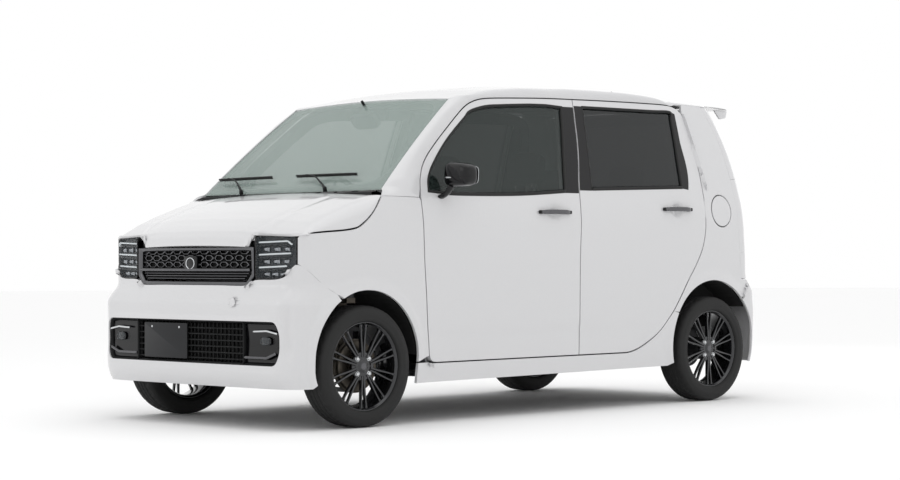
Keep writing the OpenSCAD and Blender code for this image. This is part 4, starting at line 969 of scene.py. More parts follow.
@dataclass
class DoorMirror:
    """Door mirror: a rounded housing with a body-hugging foot, indicator strip and glass."""

    side: Side
    middle: tuple = (706.0, 824.0, 1172.0)
    half_size: tuple = (50.0, 87.0, 58.0)

    def build(self) -> None:
        """Makes the housing, the foot, the strip and the mirror glass."""
        body = f"door_front_{self.side.name.lower()}"
        tag = f"door_mirror_{self.side.name.lower()}"
        cx, cy, cz = self.middle
        hx, hy, hz = self.half_size
        b = np.linspace(-np.pi / 2, np.pi / 2, 30)[:, None]
        a = np.linspace(-np.pi, np.pi, 56, endpoint=False)[None, :]

        def power(v: Array, n: float) -> Array:
            """Signed power."""
            return np.sign(v) * np.abs(v) ** n

        # superellipsoid: x = cos^0.55, y = sides^0.5, z = sin^0.6, with the back cut flat
        y = cy + hy * power(np.cos(b), 0.55) * power(np.cos(a), 0.5)
        x = cx + hx * power(np.cos(b), 0.55) * power(np.sin(a), 0.6)
        z = cz + hz * power(np.sin(b), 0.6) * (1 - 0.1 * (y - cy) / hy) + 0 * x
        x = np.maximum(x, cx - 42) + 6 * (y - cy) / hy
        z = z - 3 * (y - cy) / hy
        shell = Shape.grid(np.stack([x, y, z], axis=-1), looped=True)
        place(tag + "_housing", shell.other_side(self.side), PIANO, body,
            [f"door_mirror_{self.side.name.lower()}"], closed=True)
        outline = rounded([(cy - 74, cz - 46), (cy + 74, cz - 46), (cy + 78, cz + 38), (cy - 70, cz + 44)],
            26)
        place(tag + "_glass", Shape.prism(outline, cx - 45.5, cx - 42.4, "x", 0.8).other_side(self.side),
            CHROME, body, closed=True)
        # Painted reflection: the indicator strip is a flat pale colour standing in for the metallised strip
        # mirroring the room.
        t = np.linspace(0, 1, 26)
        front = np.stack([cx + 44 - 26 * t**3, cy - 52 + 128 * t, cz - 14 - 3 * t], axis=1)
        strip = Shape.swept(front, ring_section(1, 10) * np.array([5.5, 4.0]), up=(0, 0, 1))
        place(tag + "_indicator", strip.other_side(self.side), PAINTED_SHINE_LENS, body, closed=True)
        foot_y = float(SKIN.side_y(735, 1062))
        path = np.array([(735, foot_y + 1, 1069), (735, foot_y + 22, 1076), (733, foot_y + 44, 1092),
            (728, foot_y + 62, 1118)])
        size = np.array([1.0, 0.86, 0.8, 0.8])
        foot = Shape.swept(smooth_line(path, 6), ring_section(1, 20) * np.array([11.5, 24.0]), up=(1, 0, 0),
            scale=np.interp(np.linspace(0, 3, 19), range(4), size))
        place(tag + "_foot", foot.other_side(self.side), PIANO, body, closed=True)


PAINTED_SHINE_LENS = Finish("smoked_indicator_lens", "#c9ccce", "#b4b8ba", 0.12, 0.03, coat=0.6, grain_mm=4,
    relief=0.15)
# Ribbed clear acrylic over a metallised strip, which reads as a pale line; the strip's reflection is painted
# as a flat pale colour.
"""Ribbed clear acrylic over a metallised strip, which reads as a pale line."""


# ---------------------------------------------------------------- fixed body panels


LID_X, LID_Z, LID_CUT = -1390, 1024, 105  # centre of the fuel lid, and the radius left out of the quarter


@dataclass
class BodyPanels:
    """Fenders, quarters, skirts, roof, rails, bonnet, tailgate, bumpers and the fuel lid."""

    skin_t: float = 14.0
    edge: float = 2.0

    def fender(self) -> Array:
        """Grid from the front arch out to the door, the bonnet seam, the lamp and the bumper."""
        f = offset([FRONT_PILLAR[9]] + FRONT_LEADING, GAP)[1:8][::-1]
        g = [[max(q[0], 820) if q[0] < 866 else q[0], max(293, q[1])] for q in f]
        top = [[880, 1063], [950, 1064], [1030, 1066], [1108, 1066]]
        seam = offset(BONNET_SEAM, -GAP - 2).tolist()
        lamp = [[1600, 870], [1600, 810], [1600, 753]]
        low = [[q[0], q[1] + SEAM] for q in BUMPER_SEAM[::-1]]
        outer = linked([g, top, seam, lamp, low], PER)
        start = 180 + math.degrees(math.asin((314 - 291) / 318))
        inner = arc(SKIN.arch_f[:2], 318, start, 62.5, len(outer))
        return between(inner, outer, np.concatenate([[0, 0.012], np.linspace(0.035, 1, 44)]))

    def quarter(self) -> Array:
        """Grid from the rear arch out to the rear door, the roof, the tail lamp and the bumper."""
        e = offset([[-1066, 1588]] + REAR_BACK + REAR_WHEEL[:7], -GAP - 0.6)
        edge = e[2:18][::-1].tolist()
        ts = SKIN.tail_start
        top = [[-1200, 1597], [-1290, 1597], [-1350, 1596], [float(ts(1593)) + 25.8, 1593]]
        back = [[float(ts(z)) + 25.8, z] for z in (1500, 1400, 1300, 1200, 1100, 1000, 900, 800, 720, 656)]
        joint = [[-1625, 637], [-1600, 613], [-1560, 577]]
        outer = linked([edge, top[:-1], [top[-1]] + back, joint], PER)
        angles = np.concatenate([np.linspace(31, 75, 6), np.linspace(79, 106, 10), np.linspace(107, 113, 4),
            np.linspace(115, 132, 10), np.linspace(133, 137, 3)])
        a = np.radians(np.interp(np.arange(len(outer)) / PER, np.arange(len(angles)), angles))
        inner = np.array(SKIN.arch_r[:2]) + 340 * np.stack([np.cos(a), np.sin(a)], axis=1)
        return between(inner, outer, np.concatenate([[0, 0.012], np.linspace(0.035, 1, 50)]))

    def wrap(self, low: float, high: float) -> Array:
        """Grid of a corner wrap beside the tailgate between two heights."""
        z = np.linspace(high, low, 24)[:, None]
        k = np.linspace(0, 1, 22)[None, :]
        u = lerp(SKIN.tail_start(z) + 25.0, SKIN.tail_end(z) + 556, k)
        return np.stack([u, z + 0 * k], axis=-1)

    def skirt(self) -> Array:
        """Grid of the sill skirt between the door line and its foot, with the rear arch at its back end."""
        top = 279.0
        x0 = 1217.5 - math.sqrt(318**2 - (314 - top) ** 2) - 1
        wheel = offset(REAR_WHEEL[4:13], -GAP)
        up = linked([[[x0, top + 5], [822, top + 5], [800, top], [400, top], [0, top], [-400, top]],
            wheel[1:9][::-1].tolist()], PER)
        n = len(up)
        k = 6 * PER + 1
        down = np.concatenate([even([[907.5, 190], [-930, 202]], k),
            arc(SKIN.arch_r[:2], 340, -16, 30, n - k)])
        return between(up, down, np.linspace(0, 1, 26))

    def rail(self, side: Side) -> Array:
        """Roof side and pillar: a bowed strip from the screen and roof edge down to the door line."""
        up = offset([[-1215, 1465], [-1154, 1569]] + REAR_TOP[::-1] + [[-321, 1583]] + FRONT_TOP
            + FRONT_PILLAR + [FRONT_LEADING[0]], GAP).tolist()
        low = [[1108, 1068], [1040, 1068], [950, 1066], [880, 1065]]
        tail = [[-1150, 1597.6], [-1200, 1598], [-1300, 1598], [-1400, 1596], [-1452, 1594]]
        outer = linked([low, up[13:23][::-1] + up[2:13][::-1] + tail], PER)
        t = np.concatenate([[0, 0.01, 0.02, 0.03], np.linspace(0.06, 0.985, 10)])
        t = np.interp(np.arange((len(t) - 1) * PER + 1) / PER, np.arange(len(t)), t)
        xs = np.array([536, 420, 300, 170, 40, -110, -230, -420, -620, -840, -1000, -1110, -1200, -1300,
            -1400, -1456.0])
        xs = np.interp(np.arange(len(outer) - len(t)) / PER * (15 / ((len(outer) - len(t) - 1) / PER)),
            np.arange(16), xs)
        inner = np.concatenate([SKIN.screen(np.ones(len(t)), t) + np.array([0, SEAM, 0]),
            np.stack([xs, SKIN.roof_y(xs), SKIN.roof_z(xs, SKIN.roof_y(xs))], axis=1)])
        o = SKIN.under(outer[:, 0], outer[:, 1], 0.0)
        w = np.linalg.norm(o - inner, axis=1)[:, None]
        lean = np.stack([0.5 * (1 - ramp(np.arange(len(o)), 13 * PER, 16 * PER)), np.full(len(o), 0.75),
            np.full(len(o), 0.65)], axis=1)
        lean /= np.linalg.norm(lean, axis=1, keepdims=True)
        control = (o + inner) / 2 + 0.26 * w * lean
        q = np.linspace(0, 1, 13)[:, None, None]
        return ((1 - q) ** 2 * inner + 2 * q * (1 - q) * control + q**2 * o) * np.array([1, side.value, 1])

    def bonnet_edge(self, s: Array) -> Array:
        """Height of the bonnet's front edge across the car: low over the grille, higher over the lamps."""
        return lerp(836.0, 905.0, ramp(np.abs(s), 0.60, 0.66))

    def nose_side(self, x: Array, z: Array) -> Array:
        """Half width of the skin at x, z, also round the front corner."""
        ns = SKIN.nose_start(z)
        u = ns + SKIN.nose_r * np.arcsin(np.clip((x - ns) / SKIN.nose_r, 0, 1))
        return np.where(x < ns, SKIN.side_y(x, z), SKIN.point(u, z)[..., 1])

    def bonnet(self) -> Array:
        """Bonnet: crowned sheet whose sides roll over a 95 mm quarter turn down to the fenders' seam."""
        f = np.concatenate([np.linspace(0, 0.86, 44), np.linspace(0.88, 1, 22)])[:, None]
        s = np.linspace(-1, 1, 121)[None, :]
        crown = ((0, 1092), (0.2, 1068), (0.4, 1035), (0.6, 1000), (0.76, 966), (0.87, 934), (0.94, 908),
            (0.98, 878), (1, 840))
        k = np.abs(s)
        ze = self.bonnet_edge(s)
        xf = SKIN.lay(Face.NOSE, np.stack([k * 690, ze], axis=-1), 2)[..., 0] - 16 * ramp(k, 0.6, 0.66)
        x = lerp(1116.0, xf, f)
        zc = np.maximum(graph(crown, f) + 0 * s, ze)
        zs = np.minimum(graph(BONNET_SEAM, x), zc - 1)
        y1 = self.nose_side(x, zs) - 95
        a = np.maximum(0, (k - 0.8) / 0.2) * math.pi / 2
        yc = np.minimum(k, 0.8) / 0.8 * y1
        z1 = zc - 0.00005 * yc**2
        y = np.where(k <= 0.8, yc, y1 + 95 * np.sin(a))
        z = np.where(k <= 0.8, z1, zs + (z1 - zs) * np.cos(a))
        z = z - 3.5 * np.exp(-(((k * np.ones_like(x)) - 0.56) / 0.035) ** 2) * ramp(f, 0.0,
            0.25) * (1 - ramp(f, 0.85, 0.98))
        return np.stack([x, np.sign(s) * y, z], axis=-1)

    def roof(self) -> Array:
        """Roof panel: crowned sheet between the rails, its front edge bowed with the screen."""
        x = np.concatenate([[536.0], np.linspace(500, -1456, 70)])[:, None]
        s = np.linspace(-1, 1, 61)[None, :]
        xx = x + np.where(x == 536, 12 * (1 - s * s) - 6, 0)
        y = s * (SKIN.roof_y(x) - 0.32)
        z = SKIN.roof_z(xx, y)
        rib = np.exp(-((np.abs(s) - 0.62) / 0.03) ** 2) * ramp(-xx, -380, -250) * (1 - ramp(-xx, 1150, 1300))
        return np.stack([xx, y, z - 4 * rib], axis=-1)

    def tailgate_lines(self) -> tuple:
        """Matched window and outer outlines of the tailgate, as distances from the centre and heights."""
        g = 548.0
        window = [[[0, 1540], [170, 1540], [360, 1540]],
            [[480, 1532], [492, 1470], [500, 1390], [508, 1310], [514, 1230], [518, 1160], [512, 1120],
            [480, 1104]], [[400, 1100], [260, 1098], [130, 1096], [0, 1096]]]
        outer = [[[0, 1592], [200, 1592], [400, 1592]],
            [[g, 1590], [g, 1480], [g, 1360], [g, 1240], [g, 1120], [g, 1000], [g, 860], [g, 740]],
            [[g, 658], [400, 658], [200, 658], [0, 658]]]
        return both_halves(linked(window, PER)), both_halves(linked(outer, PER))

    def tailgate(self) -> Array:
        """Tailgate: rows from its window out to its edge, with a recess for the plate."""
        window, outer = self.tailgate_lines()
        flat = between(window, outer, shares(40, 0.3))
        a, z = flat[..., 0], flat[..., 1]
        recess = 14 * (1 - ramp(np.abs(a), 205, 225)) * ramp(z, 818, 834) * (1 - ramp(z, 1040, 1056))
        return SKIN.lay(Face.TAIL, flat, recess)

    def front_bumper(self) -> tuple:
        """Outer grid of the front bumper round its intake, and the intake's outline."""
        top = [[0, 656], [200, 656], [400, 656], [447, 680], [560, 683], [610, 690],
            [float(SKIN.across(1650, 700)), 705], [float(SKIN.across(1628, 735)), 735]]
        side = [[float(SKIN.across(x, z)), z] for x, z in [[1612, 749]] + BUMPER_SEAM[::-1]]
        wing = [[float(SKIN.across(x, z)), z] for x, z in arc(SKIN.arch_f[:2], 318, 58.5, -20, 6)]
        low = [[float(SKIN.across(1540, 190)), 190], [float(SKIN.across(1600, 190)), 190], [620, 190],
            [450, 190], [300, 190], [150, 190], [0, 190]]
        outer = both_halves(linked([top, side, wing, low], PER))
        n1, n2, n3 = len(top) * PER, (len(side) + len(wing)) * PER, (len(low) - 1) * PER + 1
        end = rounded([[540, 494], [625, 494], [650, 440], [650, 350], [625, 294], [540, 294]], 34, 8)
        end = end[9:-9]
        inner = both_halves(np.concatenate([even([[0, 494], [560, 494]], n1 + 1)[:-1],
            even(np.concatenate([[[560, 494]], end, [[560, 294]]]), n2 + 1)[:-1],
            even([[560, 294], [0, 294]], n3)]))
        flat = between(inner, outer, np.concatenate([[0, 0.015, 0.04, 0.08], np.linspace(0.13, 1, 46)]))
        a, z = np.abs(flat[..., 0]), flat[..., 1]
        pocket = 7 * ramp(z, 498, 520) * (1 - ramp(z, 590, 640)) * (1 - ramp(a, 500, 640))
        cheek = 16 * np.exp(-((a - 690) / 26) ** 2) * ramp(z, 300, 380) * (1 - ramp(z, 520, 640))
        eye = 5 * (1 - ramp(np.hypot(flat[..., 0] - 330, z - 580), 21,
            24)) * ramp(np.hypot(flat[..., 0] - 330, z - 580), 18, 20)
        return SKIN.lay(Face.NOSE, flat, pocket + cheek + eye), inner

    def rear_bumper(self) -> Array:
        """Rear bumper: full width from arch to arch, with a shelf and a shallow band above the foot."""
        z = np.concatenate([np.linspace(200, 590, 44), np.linspace(597, 650, 12)])[:, None]
        s = np.linspace(-1, 1, 241)[None, :]
        arch = -1302.5 - np.sqrt(np.maximum(0, 340**2 - (z - 310) ** 2))
        u = np.where(z > 560, lerp(-1562, -1640, ramp(z, 560, 640)), arch)
        e = u - SKIN.tail_end(z)
        k = np.abs(s)
        a = np.where(k < 0.68, k / 0.68 * 600, lerp(600.0, e, (k - 0.68) / 0.32)) * np.sign(s)
        band = 6 * ramp(z, 300, 325) * (1 - ramp(z, 395, 420)) * (1 - ramp(np.abs(a), 520, 600))
        return SKIN.lay(Face.TAIL, np.stack([a, z + 0 * s], axis=-1), band)

    def fuel_lid(self) -> Array:
        """Round lid: rings that close on a pole, slightly domed at the rim."""
        r = np.array([83, 81.5, 78, 60, 40, 20, 0.0])[:, None]
        a = np.linspace(0, 2 * math.pi, 72, endpoint=False)[None, :]
        flat = np.stack([LID_X + r * np.cos(a), LID_Z + r * np.sin(a)], axis=-1)
        return SKIN.lay(Face.SIDE, flat, np.array([1.5, 0.3, 0, 0, 0, 0, 0])[:, None] + 0 * a)

    def quarter_with_hole(self, grid: Array, side: Side) -> Shape:
        """Quarter grid; on the left the faces over the fuel lid are left out, as lid_surround fills there."""
        shape = Shape.grid(SKIN.lay(Face.SIDE, grid, 0.0, side), aim=(0, side.value, 0))
        if side is Side.RIGHT:
            return shape
        mid = shape.points[shape.quads].mean(axis=1)
        keep = np.hypot(mid[:, 0] - LID_X, mid[:, 2] - LID_Z) > LID_CUT
        return Shape(shape.points, shape.quads[keep], [])

    def lid_surround(self) -> Array:
        """Collar that fills from the quarter in to the lid's gap, then turns down into the pocket."""
        r = np.array([150, 130, 112, 98, 91.5, 89.6, 89, 89, 89, 40, 0.0])[:, None]
        depth = np.array([0.35, 0.1, -0.02, 0, 0.2, 1.0, 2.6, 12, 26, 26, 26])[:, None]
        a = np.linspace(0, 2 * math.pi, 96, endpoint=False)[None, :]
        return SKIN.lay(Face.SIDE, np.stack([LID_X + r * np.cos(a), LID_Z + r * np.sin(a)], axis=-1),
            depth + 0 * a)

    def spoiler(self) -> Array:
        """Roof spoiler: a closed wing section at each of 61 stations across, rounded at the tips."""
        s = np.linspace(-1, 1, 61)[:, None]
        y = 559.5 * s
        tip = np.abs(s) ** 14
        zr = SKIN.roof_z(-1456, y)
        x = np.array([-1462, -1500, -1560, -1610, -1645, -1660, -1667, -1667, -1660, -1640, -1590, -1540,
            -1490, -1462.0])[None, :]
        rise = np.array([0, 0.5, 0, -2, -5, -9, -16, -26, -32, -36, -34, -30, -26, -24.0])[None, :]
        zt = zr + 1 + 0.2 * rise
        top = np.array([0, 0, 0, 0, 0, 0, 0, 1, 1, 1, 1, 1, 1, 1.0])[None, :]
        low = lerp(1602.0, 1590.0, np.clip((-1462 - x) / 180, 0, 1))
        z = np.where(top < 0.5, zr + rise, low + 0 * y)
        x = x + 24 * tip * np.clip((-1500 - x) / 160, 0, 1)
        z = lerp(z, (zt + low) / 2, 0.35 * tip)
        return np.stack([x + 0 * y, y + 0 * x, z], axis=-1)[::-1]

    def build(self) -> None:
        """Makes every fixed panel, and the bonnet, tailgate and fuel lid."""
        e, t = self.edge, self.skin_t
        fender, quarter, skirt = self.fender(), self.quarter(), self.skirt()
        for side in Side:
            n, y = side.name.lower(), side.value
            first = side is Side.LEFT
            place(f"fender_{n}", Shape.grid(SKIN.lay(Face.SIDE, fender, 0.0, side), aim=(0, y, 0)), PEARL,
                "body", ["front_fenders"] if first else (), thick=t, edge=e)
            place(f"quarter_{n}", self.quarter_with_hole(quarter, side), PEARL, "body",
                ["rear_quarters"] if first else (), thick=t, edge=e)
            for key, low, high in (("upper", 1200.8, 1592), ("lower", 656, 799.2)):
                g = SKIN.lay(Face.SIDE, self.wrap(low, high), 0.0, side)
                place(f"quarter_wrap_{key}_{n}", Shape.grid(g, aim=(-0.3, y, 0)), PEARL, "body",
                    thick=t, edge=e)
            place(f"sill_skirt_{n}", Shape.grid(SKIN.lay(Face.SIDE, skirt, 0.0, side), aim=(0, y, 0)), PEARL,
                "body", ["side_skirts"] if first else (), thick=t, edge=e)
            place(f"roof_rail_{n}", Shape.grid(self.rail(side), aim=(0.2, y, 0.7)), PEARL, "body",
                ["roof_rails"] if first else (), thick=11, edge=1.6)
        place("fuel_lid_disc", Shape.grid(self.fuel_lid(), looped=True, aim=(0, 1, 0)), PEARL, "filler_lid",
            ["fuel_lid"], thick=7, closed=True)
        place("fuel_lid_collar", Shape.grid(self.lid_surround(), looped=True, aim=(0, 1, 0)), PEARL, "body",
            thick=2, closed=True)
        place("bonnet_panel", Shape.grid(self.bonnet(), aim=(0, 0, 1)), PEARL, "hood",
            ["bonnet"], thick=13, edge=e)
        place("roof_skin", Shape.grid(self.roof(), aim=(0, 0, 1)), PEARL, "body",
            ["roof_panel"], thick=11, edge=1.2)
        place("tailgate_shell", Shape.grid(self.tailgate(), looped=True, aim=(-1, 0, 0)), PEARL, "gate",
            ["tailgate"], thick=38, edge=e)
        bumper, _ = self.front_bumper()
        place("front_bumper_skin", Shape.grid(bumper, looped=True, aim=(1, 0, 0)), PEARL, "body",
            ["front_bumper"], thick=t, edge=e)
        place("rear_bumper_skin", Shape.grid(self.rear_bumper(), aim=(-1, 0, 0)), PEARL, "body",
            ["rear_bumper"], thick=t, edge=e)
        place("roof_spoiler_wing", Shape.grid(self.spoiler(), looped=True, capped=True), PEARL, "gate",
            ["roof_spoiler"], closed=True)


# ---------------------------------------------------------------- glass


@dataclass
class Glazing:
    """Windscreen with its fired black band, the tailgate glass, and the small fittings on the screen."""

    def build(self) -> None:
        """Makes the screen, its band, the inner mirror, the sensor cover, the tailgate glass and its seal."""
        s, t = np.linspace(-1, 1, 61)[None, :], np.linspace(0, 1, 41)[:, None]
        screen = Shape.grid(SKIN.screen(s * 0.998, t), aim=(1, 0, 1))
        screen = screen.moved((-1.8, 0, -2.2))
        place("windscreen_glass", screen, SCREEN, "body", ["windscreen"], thick=4.6)
        a = np.linspace(0, 2 * math.pi, 240, endpoint=False)
        p = 1 / np.maximum(np.abs(np.cos(a)), np.abs(np.sin(a)))
        rim = np.stack([p * np.cos(a), p * np.sin(a)], axis=1)
        n = (np.abs(np.cos(a)) ** 7 + np.abs(np.sin(a)) ** 7) ** (-1 / 7)
        hole = np.stack([n * np.cos(a), n * np.sin(a)],
            axis=1) * np.array([0.945, 0.915]) + np.array([0, 0.035])
        flat = between(rim, hole, np.linspace(0, 1, 6))
        band = SKIN.screen(flat[..., 0] * 0.996, 0.5 + 0.4985 * flat[..., 1]) - np.array([5.4, 0, 6.6])
        place("windscreen_frit", Shape.grid(band, looped=True, aim=(1, 0, 1)), FRIT, thick=0.6)
        top = SKIN.screen(0.0, 0.86)
        place("sensor_cover", Shape.prism(rounded([(-95, -30), (95, -30), (80, 46), (-80, 46)], 20), 0, 36,
            "z", 6).moved(tuple(top + np.array([-46, 0, -44])),
            Matrix.Rotation(math.radians(-52), 4, "Y") @ Matrix.Rotation(math.pi / 2, 4, "Z")), MATT,
            closed=True)
        place("inner_mirror", Shape.prism(rounded([(-122, -33), (122, -33), (118, 33), (-118, 33)], 26), -12,
            12, "x", 4).moved((520, 0, 1500)), MATT, closed=True)
        place("inner_mirror_stalk", Shape.swept(smooth_line([(532, 0, 1508), (560, 0, 1536), (588, 0, 1568)],
            6), ring_section(7)), MATT, closed=True)
        window, _ = BodyPanels().tailgate_lines()
        z = np.linspace(1096.8, 1539.2, 30)[:, None]
        half = np.interp(z[:, 0], [1096, 1104, 1120, 1160, 1230, 1310, 1390, 1470, 1532, 1540],
            [400, 478, 511, 517, 513, 507, 499, 491, 479, 362])[:, None]
        k = np.linspace(-1, 1, 61)[None, :]
        pane = np.stack([k * half, z + 0 * k], axis=-1)
        place("tailgate_pane", Shape.grid(SKIN.lay(Face.TAIL, pane, 8.0), aim=(-1, 0, 0)), PRIVACY, "gate",
            ["tailgate_glass"], thick=4)
        seal = np.stack([SKIN.lay(Face.TAIL, offset(window, d, closed=True), t2) for d,
            t2 in ((-6, 7.6), (-5, 2), (1, -0.7), (10, -0.7), (11, 0.6))])
        place("tailgate_seal", Shape.grid(seal, looped=True, aim=(-1, 0, 0)), SEAL, "gate",
            thick=-0.8)


# ---------------------------------------------------------------- front end


@dataclass
class FrontEnd:
    """Grille, lamps, lower intake, fog lamps and the blank plate."""

    mesh_rows: int = 3
    mesh_cols: int = 12

    def link(self, y: float, z: float, x: float) -> Shape:
        """One mesh link: a chamfered six-sided frame, wider than high, leaning back at its foot."""
        a = np.radians(np.arange(0, 360, 60))[None, :]
        rx = np.array([35.0, 33.5, 29.0, 27.0, 26.0])[:, None]
        rz = np.array([17.0, 16.2, 12.8, 11.6, 11.0])[:, None]
        out = np.array([-9.0, 0.5, 3.0, 0.0, -9.0])[:, None]
        return Shape.grid(np.stack([x + out + 0 * a, y + rx * np.cos(a), z + rz * np.sin(a)], axis=-1),
            looped=True, tube=True)

    def grille(self) -> None:
        """Trapezoid surround, the mesh of links, the lower slot and a plain badge seat."""
        top = 830.0
        g = [[0, top], [220, top], [436, top], [438, 760], [438, 700], [400, 656.8], [200, 656.8], [0, 656.8]]
        h = [[0, top - 16], [210, top - 16], [412, top - 18], [414, 760], [414, 712], [385, 676], [200, 676],
            [0, 676]]
        gl, hl = both_halves(linked([g[:3], g[3:5], g[5:]], PER)), both_halves(linked([h[:3], h[3:5], h[5:]],
            PER))
        rows = [(0.0, 22.0), (0.0, 3.0), (0.12, 1.0), (0.3, 0.4), (0.62, 3.5), (0.95, 9.0), (1.0, 22.0)]
        grid = np.stack([SKIN.lay(Face.NOSE, lerp(gl, hl, t), d) for t, d in rows])
        place("grille_surround", Shape.grid(grid, looped=True, tube=True), SMOKED, "body",
            ["front_grille"], closed=True)
        x0 = float(SKIN.nose_x(760)) - 24
        links = []
        for r in range(self.mesh_rows):
            for c in range(self.mesh_cols):
                y = -398 + c * 69 + (r % 2) * 34.5
                z = 751 + r * 31.0
                if abs(y) < 400:
                    links.append(self.link(y, z, x0 - float(SKIN.nose_bow(z)) * y * y))
        place("grille_mesh", together(links), SMOKED, "body", closed=True)
        # Painted shade: a near-black sheet 36 mm under the skin, behind the mesh, stands for the shade inside
        # the grille opening.
        flat = np.stack(np.broadcast_arrays(np.linspace(-408, 408, 33)[None, :],
            np.linspace(682, 812, 5)[:, None]), axis=-1)
        place("grille_shade_sheet", Shape.grid(SKIN.lay(Face.NOSE, flat, 36.0), aim=(1, 0, 0)), DARK, "body",
            thick=2)
        outline = rounded([(-46, 722), (46, 722), (50, 792), (-50, 792)], 16, 5)
        x = float(SKIN.nose_x(757))
        place("badge_seat", Shape.prism(outline, x - 24, x - 8, "x", 3), PIANO, "body",
            closed=True)
        ring = Shape.grid(np.stack([np.stack([np.full(64, x - d),
            rr * 0.92 * np.cos(a := np.linspace(0, 2 * np.pi, 64, endpoint=False)),
            757 + rr * 0.78 * np.sin(a)], axis=1) for rr,
            d in ((36, 9), (36, 6), (33, 4), (30, 6), (30, 9))]), looped=True, tube=True)
        place("badge_ring", ring, CHROME, "body", closed=True)

    def slot_bars(self) -> None:
        """Thick bar under the mesh, and three thin louvres that shorten downwards in the slot below it."""
        bars = []
        for z, half, depth, thick in ((727.0, 412, 4.0, 7.5), (711.0, 398, 15.0, 3.2),
                (699.0, 386, 15.0, 3.2), (687.0, 372, 15.0, 3.2)):
            line = np.stack([np.linspace(-half, half, 60), np.full(60, z)], axis=1)
            bars.append(Shape.swept(SKIN.lay(Face.NOSE, line, depth),
                ring_section(1, 12) * np.array([4 + thick / 2, thick])))
        place("grille_lower_bar", together(bars), SMOKED, "body", closed=True)

    def headlamp(self, side: Side) -> None:
        """Headlamp: dark housing, stacked light blades, reflector cells, gloss black fins, black bezel, clear
        cover.
        """
        n = side.name.lower()
        rear = lambda z: float(SKIN.across(1600.8, z))
        z = np.linspace(686, 884, 26)
        outer = np.array([min(rear(q), lerp(603, rear(754), np.clip((q - 690) / 64, 0, 1))) for q in z])
        inner = 447 + 9 * ramp(-z, -700, -686)
        k = np.linspace(0, 1, 34)[None, :]
        a = lerp(inner[:, None], outer[:, None], k)
        top = 885 - 8 * k
        zz = z[:, None] + (top - 884.5) * ((z[:, None] - 686) / 198)
        flat = np.stack([a * side.value, zz + 0 * a], axis=-1)
        cover = Shape.grid(SKIN.lay(Face.NOSE, flat, 1.5), aim=(1, side.value, 0))
        place(f"headlamp_cover_{n}", cover, LENS, "body",
            ["headlights"] if side is Side.LEFT else (), thick=2.5)
        edge = np.concatenate([flat[0], flat[1:, -1], flat[-1, -2::-1], flat[-2:0:-1, 0]])
        mid = edge.mean(axis=0)
        rows = [(1.0, 1.2), (0.965, 1.2), (0.95, 6.0), (0.93, 34.0), (1.0, 34.0), (1.0, 5.0)]
        wall = np.stack([SKIN.lay(Face.NOSE, mid + (edge - mid) * s, d) for s, d in rows])
        place(f"headlamp_bezel_{n}", Shape.grid(wall, looped=True, tube=True), PIANO, "body",
            closed=True)
        back = Shape.grid(SKIN.lay(Face.NOSE, flat, 36.0), aim=(1, side.value, 0))
        place(f"headlamp_housing_{n}", back, SMOKED_HOUSING, "body", thick=1.5)
        blades, lights, fins = [], [], []
        for k0, (zb, length) in enumerate(((852, 1.0), (796, 0.96), (738, 0.84))):
            end = 470 + (rear(zb) - 478 - 18) * length
            t = np.linspace(0, 1, 40)
            line = np.stack([lerp(466, end, t), zb + 6 * t - 16 * ramp(t, 0.86, 1.0) * (k0 == 0)],
                axis=1) * np.array([side.value, 1])
            path = SKIN.lay(Face.NOSE, line, 10.0)
            blades.append(Shape.swept(path, ring_section(1, 10) * np.array([4.5, 4.0])))
            shelf = np.stack([SKIN.lay(Face.NOSE, line + np.array([0, dz]), d) for dz,
                d in ((-9, 35), (-9, 13), (-11, 12), (-16, 12), (-18, 13), (-18, 35))])
            fins.append(Shape.grid(shelf, looped=False, tube=True))
            for j in range(3):
                c = lerp(492, end - 26, j / 2.0 * 0.9)
                r = np.linspace(0, 1, 7)[:, None]
                th = np.linspace(0, 2 * np.pi, 32, endpoint=False)[None, :]
                shape = (np.abs(np.cos(th)) ** 4 + np.abs(np.sin(th)) ** 4) ** (-0.25)
                cell = np.stack([(c + 20 * r * shape * np.cos(th)) * side.value,
                    zb - 31 + 13 * r * shape * np.sin(th)], axis=-1)
                if zb - 44 > 686:
                    lights.append(Shape.grid(SKIN.lay(Face.NOSE, cell, 20 + 9 * r**2 + 0 * th), looped=True,
                        aim=(1, side.value, 0)))
        place(f"headlamp_blades_{n}", together(blades), GUIDE, "body", closed=True)
        place(f"headlamp_fins_{n}", together(fins), PIANO, "body", closed=True)
        place(f"headlamp_cells_{n}", together(lights), REFLECTOR, "body")

    def intake(self) -> None:
        """Lower intake: black throat, slats and uprights, chrome strips and fog lamps at both ends."""
        _, inner = BodyPanels().front_bumper()
        rows = [(0.3, 6.0), (-2.0, 9.0), (-9.0, 16.0), (-10.0, 40.0)]
        throat = np.stack([SKIN.lay(Face.NOSE, offset(inner, d, closed=True), t) for d, t in rows])
        place("intake_throat", Shape.grid(throat, looped=True, aim=None), MATT, "body",
            ["bumper_grille"], thick=2, closed=True)
